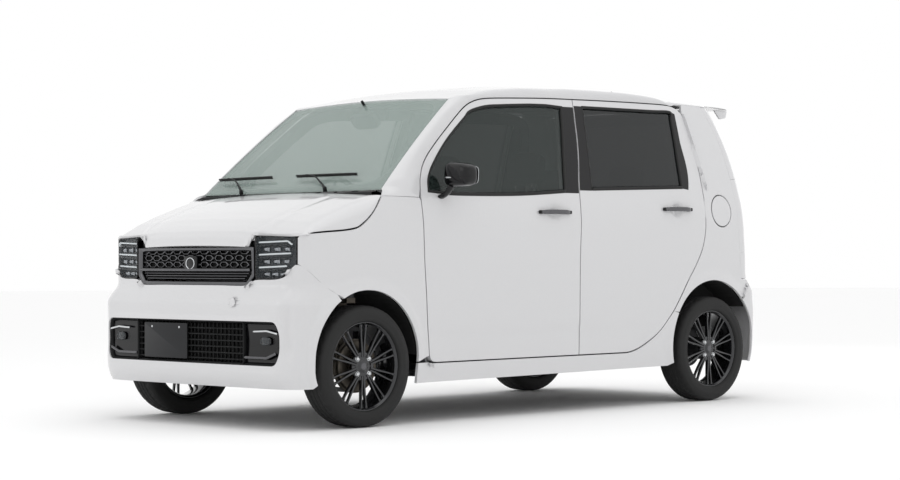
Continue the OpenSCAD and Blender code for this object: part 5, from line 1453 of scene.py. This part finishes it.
        # Painted shade: a near-black sheet 52 mm under the skin, behind the slats, stands for the shade deep
        # in the intake.
        flat = np.stack(np.broadcast_arrays(np.linspace(-640, 640, 65)[None, :],
            np.linspace(288, 500, 6)[:, None]), axis=-1)
        place("intake_shade_sheet", Shape.grid(SKIN.lay(Face.NOSE, flat, 52.0), aim=(1, 0, 0)), DARK, "body",
            thick=2)
        slats, fine = [], []
        for z in (318, 346, 374, 402, 430, 458):
            line = np.stack([np.linspace(-400, 400, 60), np.full(60, float(z))], axis=1)
            slats.append(Shape.swept(SKIN.lay(Face.NOSE, line, 24.0),
                ring_section(1, 10) * np.array([10, 3.6])))
        for a in np.arange(-392, 400, 28):
            line = np.stack([np.full(9, float(a)), np.linspace(300, 488, 9)], axis=1)
            fine.append(Shape.swept(SKIN.lay(Face.NOSE, line, 30.0), ring_section(1, 6) * np.array([1.6, 7]),
                up=(1, 0, 0)))
        for a in (-400, 400):
            line = np.stack([np.full(9, float(a)), np.linspace(296, 492, 9)], axis=1)
            slats.append(Shape.swept(SKIN.lay(Face.NOSE, line, 18.0), ring_section(1, 10) * np.array([4, 12]),
                up=(1, 0, 0)))
        place("intake_slats", together(slats), MATT, "body", closed=True)
        place("intake_uprights", together(fine), MATT, "body", closed=True)
        for side in Side:
            n, y = side.name.lower(), side.value
            z, a = np.linspace(300, 488, 12)[:, None], np.linspace(404, 634, 24)[None, :]
            block = np.stack([(a + 0 * z) * y, z + 0 * a], axis=-1)
            sink = 20 + 6 * np.sin((z - 300) / 188 * np.pi) + 0 * a
            place(f"fog_panel_{n}", Shape.grid(SKIN.lay(Face.NOSE, block, sink), aim=(1, 0, 0)), PIANO,
                "body", thick=2)
            line = even([[410, 330], [560, 330], [622, 352]], 30)
            strip = SKIN.lay(Face.NOSE, line * np.array([y, 1]), 9.0)
            place(f"fog_strip_{n}", Shape.swept(strip, ring_section(1, 12) * np.array([5, 7])), SMOKED,
                "body", closed=True)
            line = even([[470, 448], [560, 452], [632, 440]], 30)
            strip = SKIN.lay(Face.NOSE, line * np.array([y, 1]), 9.0)
            place(f"fog_brow_{n}", Shape.swept(strip, ring_section(1, 12) * np.array([4, 5])), CHROME, "body",
                closed=True)
            r, th = np.linspace(0, 1, 6)[:, None], np.linspace(0, 2 * np.pi, 40, endpoint=False)[None, :]
            shape = (np.abs(np.cos(th)) ** 3 + np.abs(np.sin(th)) ** 3) ** (-1 / 3)
            cell = np.stack([(548 + 32 * r * shape * np.cos(th)) * y, 406 + 19 * r * shape * np.sin(th)],
                axis=-1)
            place(f"fog_lamp_{n}", Shape.grid(SKIN.lay(Face.NOSE, cell, 12 + 6 * r**2 + 0 * th), looped=True,
                aim=(1, 0, 0)), SMOKED_HOUSING, "body", thick=3)
            place(f"fog_cover_{n}", Shape.grid(SKIN.lay(Face.NOSE, cell, 8.0), looped=True, aim=(1, 0, 0)),
                LENS, "body", thick=1.5)

    def plate(self) -> None:
        """Blank plate with two bolts, on a dark holder."""
        x = float(SKIN.nose_x(400))
        outline = rounded([(-338, 312), (-8, 312), (-8, 477), (-338, 477)], 7, 4)
        place("plate_blank_front", Shape.prism(outline, x - 10.5, x - 7.5, "x", 0.8), PLATE, "body",
            ["front_plate"], closed=True)
        holder = rounded([(-332, 318), (-14, 318), (-14, 471), (-332, 471)], 7, 4)
        place("plate_holder_front", Shape.prism(holder, x - 20, x - 10.7, "x", 1), MATT, "body",
            closed=True)
        bolts = together([Shape.revolved([(0, 2.4), (3.4, 2.2), (5.4, 1.2), (5.6, 0), (0, 0)],
            (x - 7.6, -173 + s, 458), (1, 0, 0), 24) for s in (-105, 105)])
        place("plate_bolts_front", bolts, CHROME, "body", closed=True)

    def build(self) -> None:
        """Makes the whole front."""
        self.grille()
        self.slot_bars()
        for side in Side:
            self.headlamp(side)
        self.intake()
        self.plate()


SMOKED_HOUSING = Finish("dark_lamp_housing", "#1b1d20", "#26292d", 0.3, 0.06, metallic=0.3, coat=0.4,
    grain_mm=6, relief=0.1)
"""Vacuum-coated dark polycarbonate: the lamp looks deep, with grey glints."""


# ---------------------------------------------------------------- wheels


@dataclass
class Wheel:
    """One wheel: a treaded tyre and a black alloy rim with ten forked spokes and four nuts."""

    tag: str
    x: float
    y: float
    tyre_r: float = 281.0
    tyre_w: float = 164.0
    rim_r: float = 206.0

    @property
    def out(self) -> float:
        """1 on the left, where outwards is +Y, and -1 on the right."""
        return 1.0 if self.y > 0 else -1.0

    def tyre(self) -> Shape:
        """Tyre section turned about the axle; the tread drops in three grooves and angled sipes."""
        w, r, q = self.tyre_w / 2, self.tyre_r, self.rim_r
        tread = np.linspace(-w + 34, w - 34, 41)
        side = [(r - 1.2, w - 28), (r - 4, w - 18), (r - 8, w - 12), (r - 10.5, w - 8.5), (r - 16, w - 5),
            (r - 22, w - 3.2), (r - 24, w - 2.4), (r - 27, w - 2.2), (r - 29, w - 1.2), (r - 36, w - 0.3),
            (q + 34, w), (q + 24, w - 0.4), (q + 20, w - 1.4), (q + 17, w - 1.2), (q + 12, w - 2),
            (q + 8, w - 3), (q + 3, w - 7), (q + 0.6, w - 12)]
        other = [(a, -b) for a, b in side[::-1]]
        groove = 6.5 * sum(1 - ramp(np.abs(tread - c), 2.6, 4.4) for c in (-26, 0, 26))
        crown = r - 0.0005 * tread**2 - groove
        profile = other + list(zip(crown.tolist(), tread.tolist())) + side + [(q + 0.6, w - 34),
            (q + 6, w - 46), (q + 6, -w + 46), (q + 0.6, -w + 34)]

        def sipes(a: Array, h: Array) -> Array:
            """Cuts 3.5 mm deep, 64 to the turn, slanted across each half, on shoulders and ribs."""
            wave = 0.5 + 0.5 * np.cos(64 * a + 0.13 * np.abs(h) * np.sign(h))
            zone = ramp(np.abs(h), 8, 11) * (1 - ramp(np.abs(h), 70, 74))
            return -3.5 * (1 - ramp(wave, 0.03, 0.12)) * zone

        p = np.array(profile)
        tread_rows = (p[:, 0] > r - 20)
        def cut(a: Array, h: Array) -> Array:
            """The sipes, kept to rows whose radius is in the tread."""
            return sipes(a, h) * tread_rows[:, None] * (np.abs(h) < w - 12)

        return Shape.revolved(p, (self.x, self.y, self.tyre_r), (0, self.out, 0), 224, looped=True,
            ripple=cut)

    def rim(self) -> Shape:
        """Barrel and lips as a closed loop turned about the axle."""
        w, q = self.tyre_w / 2, self.rim_r
        loop = [(q, -w + 14), (q - 1, w - 16), (q, w - 14.5), (q - 1.5, w - 13.8), (q - 4, w - 13.8),
            (q - 6, w - 15), (q - 7, w - 19), (q - 11, w - 22), (q - 13, w - 26), (q - 15, w - 44),
            (q - 19, w - 60), (q - 20, -w + 30), (q - 12, -w + 14)]
        return Shape.revolved(loop, (self.x, self.y, self.tyre_r), (0, self.out, 0), 160, looped=True)

    def spoke(self, angle: float, split: float) -> Shape:
        """One leg of a forked spoke: a bevelled rib, wide and deep at the hub, that curves to the rim.

        Args:
            angle: direction of the spoke, in radians.
            split: half of the fork's spread at the rim, in millimetres; its sign picks the leg.
        """
        t = np.linspace(0, 1, 14)
        r = lerp(44.0, self.rim_r - 14, t)
        off = split * (0.42 + 0.58 * ramp(t, 0.1, 1.0))
        face = 57.5 - 5 * t + 7 * t**3
        half = lerp(6.6, 4.6, t) + 3.5 * ramp(t, 0.93, 1.0)
        deep = lerp(20.0, 13.0, t)
        sec = np.array([[-1, -1], [-1, -0.18], [-0.62, 0], [0.62, 0], [1, -0.18], [1, -1]])
        cross = off[:, None] + half[:, None] * sec[None, :, 0]
        height = face[:, None] + deep[:, None] * sec[None, :, 1]
        x = r[:, None] * math.cos(angle) - cross * math.sin(angle)
        z = r[:, None] * math.sin(angle) + cross * math.cos(angle)
        return Shape.grid(np.stack([self.x + x, self.y + self.out * height, self.tyre_r + z], axis=-1),
            looped=True, capped=True)

    def centre(self) -> Shape:
        """Hub face: a dished disc with a rounded cap."""
        p = [(0, 58.5), (18, 58.2), (25, 57), (27, 54), (29, 52.5), (36, 52.6), (60, 54), (66, 52), (68, 47),
            (68, 37), (0, 37)]
        return Shape.revolved(p, (self.x, self.y, self.tyre_r), (0, self.out, 0), 96)

    def nuts(self) -> Shape:
        """Four six-sided nuts with domed ends, each in a round seat."""
        out = []
        for k in range(4):
            a = math.radians(45 + 90 * k)
            c = (self.x + 50 * math.cos(a), self.y, self.tyre_r + 50 * math.sin(a))
            out.append(Shape.revolved([(0, 61), (5, 60.4), (8, 58), (8.8, 57), (8.8, 53), (0, 53)], c,
                (0, self.out, 0), 6))
            out.append(Shape.revolved([(9.6, 53), (9.6, 55.4), (11.6, 55.8), (13.2, 54.6), (13.4, 52)], c,
                (0, self.out, 0), 32, looped=True))
        return together(out)

    def brake(self) -> Shape:
        """Brake disc behind the spokes."""
        p = [(62, 14), (112, 14), (116, 13), (118, 10), (118, 4), (112, 2), (62, 2)]
        return Shape.revolved(p, (self.x, self.y, self.tyre_r), (0, self.out, 0), 96, looped=True)

    def build(self) -> None:
        """Makes the tyre, rim, spokes, hub face, nuts, cap disc and, on the front wheels, the brake disc."""
        body = f"wheel_{self.tag}"
        place(f"tyre_{self.tag}_tread", self.tyre(), RUBBER, body, [f"tyre_{self.tag}"], closed=True)
        place(f"rim_{self.tag}_barrel", self.rim(), ALLOY, body, [f"rim_{self.tag}"],
            closed=True)
        legs = [self.spoke(2 * math.pi * k / 10 + math.pi / 2, s) for k in range(10) for s in (-15.0, 15.0)]
        place(f"rim_{self.tag}_spokes", together(legs), ALLOY, body, edge=0.8, closed=True)
        place(f"rim_{self.tag}_hub_face", self.centre(), ALLOY, body, closed=True)
        place(f"rim_{self.tag}_nuts", self.nuts(), CHROME, body, closed=True)
        emblem = Shape.revolved([(0, 59.4), (12, 59.2), (16, 58.6), (17, 57.4), (0, 57.4)],
            (self.x, self.y, self.tyre_r), (0, self.out, 0), 48)
        place(f"rim_{self.tag}_cap_disc", emblem, SMOKED, body, closed=True)
        if "front" in self.tag:
            place(f"brake_disc_{self.tag}", self.brake(), IRON, body, closed=True)


# ---------------------------------------------------------------- trim and fittings outside


@dataclass
class OutsideFittings:
    """Wipers, cowl, fin, tail lamps, rear plate, reflectors, stop lamp, towing cap and rear wiper."""

    def wiper(self, y: float) -> tuple:
        """Arm and blade of one wiper; the blade lies along the foot of the screen.

        Args:
            y: where the spindle stands.

        Returns:
            The arm and the blade.
        """
        s = np.linspace((y + 150) / 663, (y - 290) / 663, 24)
        line = SKIN.screen(s, 0.13) + np.array([13, 0, 17])
        blade = Shape.swept(line, ring_section(1, 10) * np.array([4.2, 4.2]))
        lip = Shape.swept(line + np.array([-4.5, 0, -6]), ring_section(1, 6) * np.array([1.6, 5.5]),
            up=(1, 0, 1.2))
        q = SKIN.screen((y - 230) / 663, 0.18) + np.array([16, 0, 22])
        root = np.array([1101.0, y, 1112])
        path = smooth_line([root, lerp(root, q, 0.15) + [0, 0, 6], lerp(root, q, 0.55) + [0, 0, 5],
            SKIN.screen((y - 215) / 663, 0.135) + np.array([15, 0, 19])], 8)
        arm = Shape.swept(path, ring_section(1, 10) * np.array([6, 3.2]),
            scale=np.linspace(1.15, 0.7, len(path)))
        cap = Shape.revolved([(0, 9), (6, 8.5), (9, 6), (10, 2), (10, -16), (0, -16)], root, (0.2, 0, 1), 28)
        return arm + cap, blade + lip

    def tail_lamp(self, side: Side) -> None:
        """Tail lamp: ribbed red cover, body-colour border, pale and amber windows, dark back."""
        n = side.name.lower()
        z, k = np.linspace(800, 1200, 60)[:, None], np.linspace(0, 1, 26)[None, :]
        u = lerp(SKIN.tail_end(z) + 556.8, SKIN.tail_start(z) - 46, k)
        flat = np.stack([u, z + 0 * k], axis=-1)
        edge = np.stack([SKIN.tail_start(z) + lerp(25.0, -45.0, k), z + 0 * k], axis=-1)
        place(f"tail_lamp_border_{n}", Shape.grid(SKIN.lay(Face.SIDE, edge, 0.0, side),
            aim=(-1, side.value, 0)), PEARL, "body", thick=3, edge=1.0)
        rib = 0.6 * (0.5 + 0.5 * np.cos(z / 400 * 2 * np.pi * 26)) * np.sin(np.pi * k)
        place(f"tail_lamp_cover_{n}", Shape.grid(SKIN.lay(Face.SIDE, flat, 0.4 + rib, side),
            aim=(-1, side.value, 0)), RED_LENS, "body",
            ["tail_lights"] if side is Side.LEFT else (), thick=4, edge=1.0)
        place(f"tail_lamp_back_{n}", Shape.grid(SKIN.lay(Face.SIDE, flat, 40, side), aim=(-1, side.value, 0)),
            SMOKED_HOUSING, "body", thick=2)
        # The reverse window takes the pale lens, whose flat pale colour is a painted reflection of its
        # metallised strip.
        for key, low, high, finish in (("indicator", 846, 902, AMBER), ("reverse", 908, 956, PAINTED_SHINE_LENS),
                ("brake", 1010, 1150, RED_LENS)):
            z2 = np.linspace(low, high, 16)[:, None]
            u2 = lerp(SKIN.tail_end(z2) + 572, SKIN.tail_start(z2) - 56, k)
            cell = np.stack([u2, z2 + 0 * k], axis=-1)
            place(f"tail_lamp_{key}_{n}", Shape.grid(SKIN.lay(Face.SIDE, cell, -0.4, side),
                aim=(-1, side.value, 0)), finish, "body", thick=1.4,
                edge=0.5)

    def build(self) -> None:
        """Makes the fittings."""
        arms, blades = zip(*[self.wiper(y) for y in (-330.0, 300.0)])
        place("wiper_arms", together(arms), MATT, "body", ["wipers"], closed=True)
        place("wiper_blades", together(blades), SEAL, "body", closed=True)
        y = np.linspace(-640, 640, 65)[None, :]
        profile = np.array([(985.4, 1012), (1150, 1012), (1150, 1030), (1112, 1044), (1109, 1060),
            (1109, 1086), (1100, 1089.0), (1070, 1090), (1000, 1070), (985.4, 1060)])
        x, z = profile[:, :1] + 0 * y, profile[:, 1:] + 0 * y
        place("cowl_panel", Shape.grid(np.stack([x, y + 0 * x, z], axis=-1), tube=True), MATT, "body",
            ["cowl"], closed=True)
        t = np.linspace(0, 1, 24)[:, None]
        xs = lerp(-1213.0, -1367.0, t)
        rise = 84 * np.clip(np.sin(np.pi * t), 0, 1) ** 0.9 * (0.16 + 0.84 * ramp(t, 0.15, 0.8))
        k = np.linspace(-1, 1, 13)[None, :]
        half = 14 * np.sqrt(np.clip(1 - (2 * t - 1) ** 2, 0.0004, 1))
        height = SKIN.roof_z(xs, 0) + 0.9 + rise * (1 - np.abs(k) ** 2.2)
        fin = np.stack([xs + 0 * k, half * np.sign(k) * np.abs(k) ** 0.8, height + 0 * k], axis=-1)
        place("roof_fin", Shape.grid(fin, aim=(0, 0, 1)), PIANO, "body", ["roof_antenna"],
            closed=False)
        for side in Side:
            self.tail_lamp(side)
            v = side.value
            line = np.stack([np.linspace(420, 640, 24) * v, np.full(24, 356.0)], axis=1)
            place(f"rear_reflector_{side.name.lower()}",
                Shape.swept(SKIN.lay(Face.TAIL, line, 3.0), ring_section(1, 12) * np.array([4, 11])),
                RED_LENS, "body", closed=True)
        xp = float(SKIN.lay(Face.TAIL, np.array([0.0, 930.0]), 0.0)[0])
        outline = rounded([(-165, 850), (165, 850), (165, 1015), (-165, 1015)], 7, 4)
        place("plate_blank_rear", Shape.prism(outline, xp - 12.5, xp - 9.5, "x", 0.8), WHITE_PLATE, "gate",
            ["rear_plate"], closed=True)
        holder = rounded([(-158, 857), (158, 857), (158, 1008), (-158, 1008)], 7, 4)
        place("plate_holder_rear", Shape.prism(holder, xp - 9.3, xp + 12, "x", 1), MATT, "gate",
            closed=True)
        bar = Shape.swept(SKIN.lay(Face.TAIL, np.stack([np.linspace(-230, 230, 30), np.full(30, 1062.0)],
            axis=1), 1.0), ring_section(1, 14) * np.array([9, 13]))
        place("gate_garnish", bar, SMOKED, "gate", closed=True)
        y = np.linspace(-1, 1, 49)
        line = np.stack([y * 400, np.full(49, 218.0)], axis=1)
        place("rear_foot_panel", Shape.swept(SKIN.lay(Face.TAIL, line, 8.0),
            ring_section(1, 14) * np.array([6, 16])), MATT, "body", closed=True)
        stop = Shape.swept(np.stack([np.full(24, -1664.5), np.linspace(-110, 110, 24),
            SKIN.roof_z(-1456, np.linspace(-110, 110, 24)) - 22], axis=1),
            ring_section(1, 10) * np.array([2.2, 6]))
        place("high_stop_lamp", stop, RED_LENS, "gate", closed=True)
        for side in Side:
            fin_y = 540.0 * side.value
            prof = rounded([(-1552, 1588), (-1646, 1588), (-1664, 1588), (-1652, 1547), (-1602, 1538)], 8)
            place(f"spoiler_fin_{side.name.lower()}", Shape.prism(prof, fin_y - 6, fin_y + 6, "y", 2.5),
                PEARL, "gate", closed=True)
        cap = Shape.revolved([(0, 1), (16, 1), (19, 0.4), (20, -1.2), (0, -1.2)],
            tuple(SKIN.lay(Face.NOSE, np.array([330.0, 580.0]), 0.4)), (1, 0.02, 0), 40)
        place("tow_eye_cap", cap, PEARL, "body", closed=True)
        wiper_y = np.linspace(40, -330, 20)
        rear = SKIN.lay(Face.TAIL, np.stack([wiper_y, 1128 + 0 * wiper_y], axis=1), -16.0)
        arm = Shape.swept(rear, ring_section(1, 10) * np.array([4, 6]), scale=np.linspace(1.3, 0.7, 20))
        hub = tuple(SKIN.lay(Face.TAIL, np.array([40.0, 1116.0]), -4.0))
        boss = Shape.revolved([(0, 18), (12, 17), (16, 12), (17, 0), (17, -12), (0, -12)], hub, (-1, 0, 0),
            32)
        place("rear_wiper", arm + boss, MATT, "gate", closed=True)


# ---------------------------------------------------------------- cabin


@dataclass
class Cushion:
    """A padded piece: a closed rounded form, crowned on its faces and drawn in along its rim seam."""

    name: str
    middle: tuple
    half: tuple
    lean: float
    crown: float = 16.0
    channels: int = 2
    power: float = 0.36

    def shape(self) -> Shape:
        """Rounded box from powers of sine and cosine, swollen, with sewn channels and a rim seam."""
        b = np.linspace(-np.pi / 2, np.pi / 2, 56)[:, None]
        a = np.linspace(-np.pi, np.pi, 112, endpoint=False)[None, :]
        e = self.power
        f = lambda v: np.sign(v) * np.abs(v) ** e
        u, v, w = f(np.cos(b)) * f(np.cos(a)), f(np.cos(b)) * f(np.sin(a)), f(np.sin(b)) + 0 * a
        hx, hy, hz = self.half
        bulge = (1 - u**2) * (1 - v**2)
        waist = 1 - 0.035 * (1 - np.clip(np.abs(w), 0, 1))
        groove = sum(np.exp(-((v * hy - s * hy * 0.5) / 7) ** 2) for s in (-1, 1)) if self.channels else 0
        across = np.exp(-((u * hx + hx * 0.15) / 7) ** 2) if self.channels > 1 else 0
        z = w * (hz + self.crown * bulge) - np.sign(w) * 9 * (groove + across) * np.clip(np.abs(w) * 1.5
            - 0.6, 0, 1) * (1 - np.abs(u) ** 8)
        seam = 4 * np.exp(-(np.abs(np.abs(w) - 0.86) / 0.05) ** 2)
        x, y = u * (hx * waist - seam), v * (hy * waist - seam)
        g = np.stack([x, y, z], axis=-1)
        return Shape.grid(g, looped=True).moved(self.middle, Matrix.Rotation(math.radians(self.lean), 4, "Y"))

    def build(self, stands_for: Sequence[str] = ()) -> None:
        pad = place(self.name, self.shape(), CLOTH, "body", stands_for, closed=True)


@dataclass
class Cabin:
    """Seats, dashboard, wheel, floor carpet and headlining."""

    def seats(self) -> None:
        """Front seats and the rear bench with head rests, their posts and runners."""
        for side in Side:
            y, n = 310.0 * side.value, side.name.lower()
            Cushion(f"front_seat_pad_{n}", (140, y, 508), (255, 232, 62), -3,
                18).build(["front_seats"] if side is Side.LEFT else ())
            Cushion(f"front_seat_back_{n}", (-205, y, 815), (50, 222, 300), -13, 12, power=0.4).build()
            Cushion(f"front_head_rest_{n}", (-283, y, 1238), (40, 122, 78), -9, 10, channels=0,
                power=0.5).build()
            posts = together([Shape.swept([(-262, y + d, 1090), (-274, y + d, 1200)], ring_section(6))
                for d in (-60, 60)])
            place(f"front_head_rest_posts_{n}", posts, CHROME, closed=True)
            rails = together([Shape.box((-60, y + d - 20, 239.6), (340, y + d + 20, 440), 4)
                for d in (-190, 190)])
            place(f"front_seat_rails_{n}", rails, CHASSIS, "body", closed=True)
        Cushion("rear_bench_pad", (-690, 0, 508), (232, 506, 66), -2, 16, channels=1).build(["rear_seat"])
        Cushion("rear_bench_back", (-1020, 0, 812), (50, 506, 290), -15.5, 12, channels=1, power=0.4).build()
        for side in Side:
            y, n = 270.0 * side.value, side.name.lower()
            Cushion(f"rear_head_rest_{n}", (-1124, y, 1196), (36, 112, 68), -6, 9, channels=0,
                power=0.5).build()
            leg = Shape.box((-800, 400 * side.value - 20 * (1 - side.value), 239.6),
                (-500, 400 * side.value + 20 * (1 + side.value), 446), 4)
            place(f"rear_bench_leg_{n}", leg, CHASSIS, "body", closed=True)

    def dashboard(self) -> None:
        """Dashboard: a shaped section drawn across, with shelf, hood, display, vents and column."""
        prof = rounded([(878.6, 720), (878.6, 1056), (820, 1074), (760, 1070), (640, 1050), (606, 1020),
            (600, 960), (640, 900), (632, 800), (700, 730), (760, 720)], 34, 6)
        place("dashboard_body", Shape.prism(prof, -635.5, 635.5, "y", 5), SKIN_TRIM, "body",
            ["dashboard"], closed=True)
        shelf = rounded([(820, 1027), (979, 1027), (979, 1041), (820, 1060)], 5)
        place("dashboard_shelf", Shape.prism(shelf, -635.5, 635.5, "y", 3), SKIN_TRIM, "body",
            closed=True)
        hood = rounded([(604, 1040), (606, 1094), (680, 1104), (770, 1078), (770, 1060), (640, 1042)], 14)
        place("instrument_hood", Shape.prism(hood, -500, -190, "y", 8), SKIN_TRIM, "body",
            closed=True)
        outline = rounded([(-116, 985), (116, 985), (116, 1112), (-116, 1112)], 10)
        place("centre_display", Shape.prism(outline, 596, 608, "x", 2), SCREEN_OFF, "body", closed=True)
        cells = [Shape.prism(rounded([(y - 58, 985), (y + 58, 985), (y + 58, 1030), (y - 58, 1030)], 8), 593,
            604, "x", 2) for y in (-575, 575, 190)]
        bars = [Shape.box((589.5, y - 50, z), (594, y + 50, z + 3), 0.6) for y in (-575, 575, 190)
            for z in (993, 1002, 1011, 1020)]
        place("air_vents", together(cells), PIANO, "body", closed=True)
        place("air_vent_blades", together(bars), SMOKED, "body", closed=True)
        column = Shape.swept([(640, -340, 978), (560, -340, 993.5), (480, -340, 1009)], ring_section(34, 28),
            scale=np.array([1.1, 1.0, 0.9]))
        place("steering_column", column, SKIN_TRIM, "body", closed=True)

    def wheel(self) -> None:
        """Steering wheel: a leather ring, a padded hub and three bowed spokes."""
        c, w = np.array([440.0, -340.0, 1017.0]), np.array([-0.98163, 0, 0.19081])
        ring = arc((178, 0), 15, 0, 345, 24)
        place("steering_wheel_ring", Shape.revolved(ring, c, w, 112, looped=True), LEATHER, "helm",
            ["steering_wheel"], closed=True)
        hub = [(0, 17), (40, 15.5), (54, 11), (60, 4), (60, -12), (50, -18), (0, -18)]
        place("steering_wheel_hub", Shape.revolved(hub, c, w, 64), SKIN_TRIM, "helm",
            closed=True)
        v = np.array([0.0, 1.0, 0.0])
        u = np.cross(v, w)
        spokes = []
        for k in (0, 120, 240):
            a = math.radians(k)
            d = math.cos(a) * u + math.sin(a) * v
            t = np.linspace(0, 1, 14)[:, None]
            spokes.append(Shape.swept(c + d * lerp(48.0, 170.0, t) + w * (-6 * np.sin(np.pi * t)),
                ring_section(1, 14) * np.array([13, 6]), up=w, scale=1.15 - 0.35 * np.sin(np.pi * t[:, 0])))
        place("steering_wheel_spokes", together(spokes), SMOKED, "helm", closed=True)

    def lining(self) -> None:
        """Headlining under the roof and carpet on the floor."""
        x, s = np.linspace(500, -1380, 40)[:, None], np.linspace(-1, 1, 31)[None, :]
        y = s * (SKIN.roof_y(x) - 22)
        z = SKIN.roof_z(x, y) - 16
        place("headlining", Shape.grid(np.stack([x + 0 * y, y, z], axis=-1), aim=(0, 0, -1)), FELT, "body",
            thick=2)
        lip = np.stack(np.broadcast_arrays(np.linspace(-640, 640, 60)[:, None],
            np.linspace(-870, 860, 80)[None, :]), axis=-1)
        carpet = np.stack([lip[..., 1], lip[..., 0], np.full(lip.shape[:2], 242.5)], axis=-1)
        place("floor_carpet", Shape.grid(carpet, aim=(0, 0, 1)), CARPET, "body", thick=2)
        boot = np.stack(np.broadcast_arrays(np.linspace(-1630, -1180, 40)[:, None],
            np.linspace(-530, 530, 60)[None, :]), axis=-1)
        place("luggage_carpet", Shape.grid(np.stack([boot[..., 0], boot[..., 1],
            np.full(boot.shape[:2], 418.6)], axis=-1), aim=(0, 0, 1)), CARPET, "body", thick=2)

    def build(self) -> None:
        """Makes the cabin."""
        self.seats()
        self.dashboard()
        self.wheel()
        self.lining()


LEATHER = Finish("stitched_black_leather", "#191919", "#222222", 0.55, 0.08, coat=0.1, grain_mm=2.5,
    relief=0.35, relief_mm=0.15, pattern="pebble")
"""Chrome-tanned leather: black with a low, broken gloss."""


# ---------------------------------------------------------------- studio


def studio() -> None:
    """Camera on the front left quarter, pale floor, and soft lights over the bonnet and along the side."""
    scene = bpy.context.scene
    scene.view_settings.view_transform = "Standard"
    at, yaw, pitch, roll = Vector((8.00605, 8.18261,
        0.79111)), math.radians(-134.48546), math.radians(0.39276), math.radians(-0.24323)
    ahead = Vector((math.cos(yaw) * math.cos(pitch), math.sin(yaw) * math.cos(pitch), math.sin(pitch)))
    right = ahead.cross(Vector((0, 0, 1))).normalized()
    up = right.cross(ahead)
    r, u = right * math.cos(roll) + up * math.sin(roll), up * math.cos(roll) - right * math.sin(roll)
    camera = bpy.data.objects.new("camera", bpy.data.cameras.new("camera"))
    camera.data.lens, camera.data.sensor_width = 87.7066, 36.0
    camera.matrix_world = Matrix((( r.x, u.x, -ahead.x, at.x), (r.y, u.y, -ahead.y, at.y),
        (r.z, u.z, -ahead.z, at.z), (0, 0, 0, 1)))
    scene.collection.objects.link(camera)
    scene.camera = camera
    floor = bpy.data.meshes.new("floor")
    a = np.linspace(0, 2 * np.pi, 96, endpoint=False)
    floor.from_pydata([(40 * math.cos(t), 40 * math.sin(t), -0.0005) for t in a], [], [list(range(96))])
    ground = bpy.data.objects.new("floor", floor)
    scene.collection.objects.link(ground)
    floor.materials.append(FLOOR.material())
    world = bpy.data.worlds.new("studio")
    scene.world = world
    world.use_nodes = True
    world.node_tree.nodes["Background"].inputs["Color"].default_value = (1, 1, 1, 1)
    world.node_tree.nodes["Background"].inputs["Strength"].default_value = 1.0
    for name, power, size, spot, aim in (("overhead", 36, (6, 4), (0.6, 0.8, 5.2), (0, 0, 0.8)),
            ("front_key", 22, (4, 3), (6.5, -1.5, 3.6), (1.2, 0, 0.8)),
            ("side_fill", 6, (7, 2.2), (-0.5, 7.5, 2.6), (-0.2, 0.6, 0.8)),
            ("tail_fill", 18, (4, 3), (-7, -1, 3.4), (-1.2, 0, 0.8))):
        lamp = bpy.data.lights.new(name, "AREA")
        lamp.energy, lamp.shape, lamp.size, lamp.size_y = power, "RECTANGLE", size[0], size[1]
        light = bpy.data.objects.new(name, lamp)
        light.matrix_world = Matrix.Translation(spot) @ (Vector(aim) - Vector(spot)).to_track_quat("-Z",
            "Y").to_matrix().to_4x4()
        scene.collection.objects.link(light)


FLOOR = Finish("matt_studio_floor", "#fafafa", "#fbfbfb", 0.9, 0.02, grain_mm=40, relief=0.0)
"""Pale matt floor."""


def main() -> None:
    """Builds the car's finish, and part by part."""
    logging.basicConfig(level=logging.INFO, format="%(message)s")
    studio()
    dress(["side_frames"], PRIMER)
    dress(["bulkhead", "front_frame"], PRIMER)
    dress(["floor_pan", "rear_axle", "front_suspension"], CHASSIS)
    dress(["arch_liners"], DARK)
    dress(["engine_block"], CAST)
    dress(["exhaust"], EXHAUST)
    dress(["knuckle_left", "knuckle_right"], IRON)
    BodyPanels().build()
    for side in Side:
        for front in (True, False):
            DoorShell(side, front).build()
        DoorMirror(side).build()
    Glazing().build()
    FrontEnd().build()
    OutsideFittings().build()
    for tag, x, y in (("front_left", 1225.5, 653.0), ("front_right", 1225.5, -653.0),
            ("rear_left", -1294.5, 653.0), ("rear_right", -1294.5, -653.0)):
        Wheel(tag, x, y).build()
    Cabin().build()


if __name__ == "__main__":
    main()
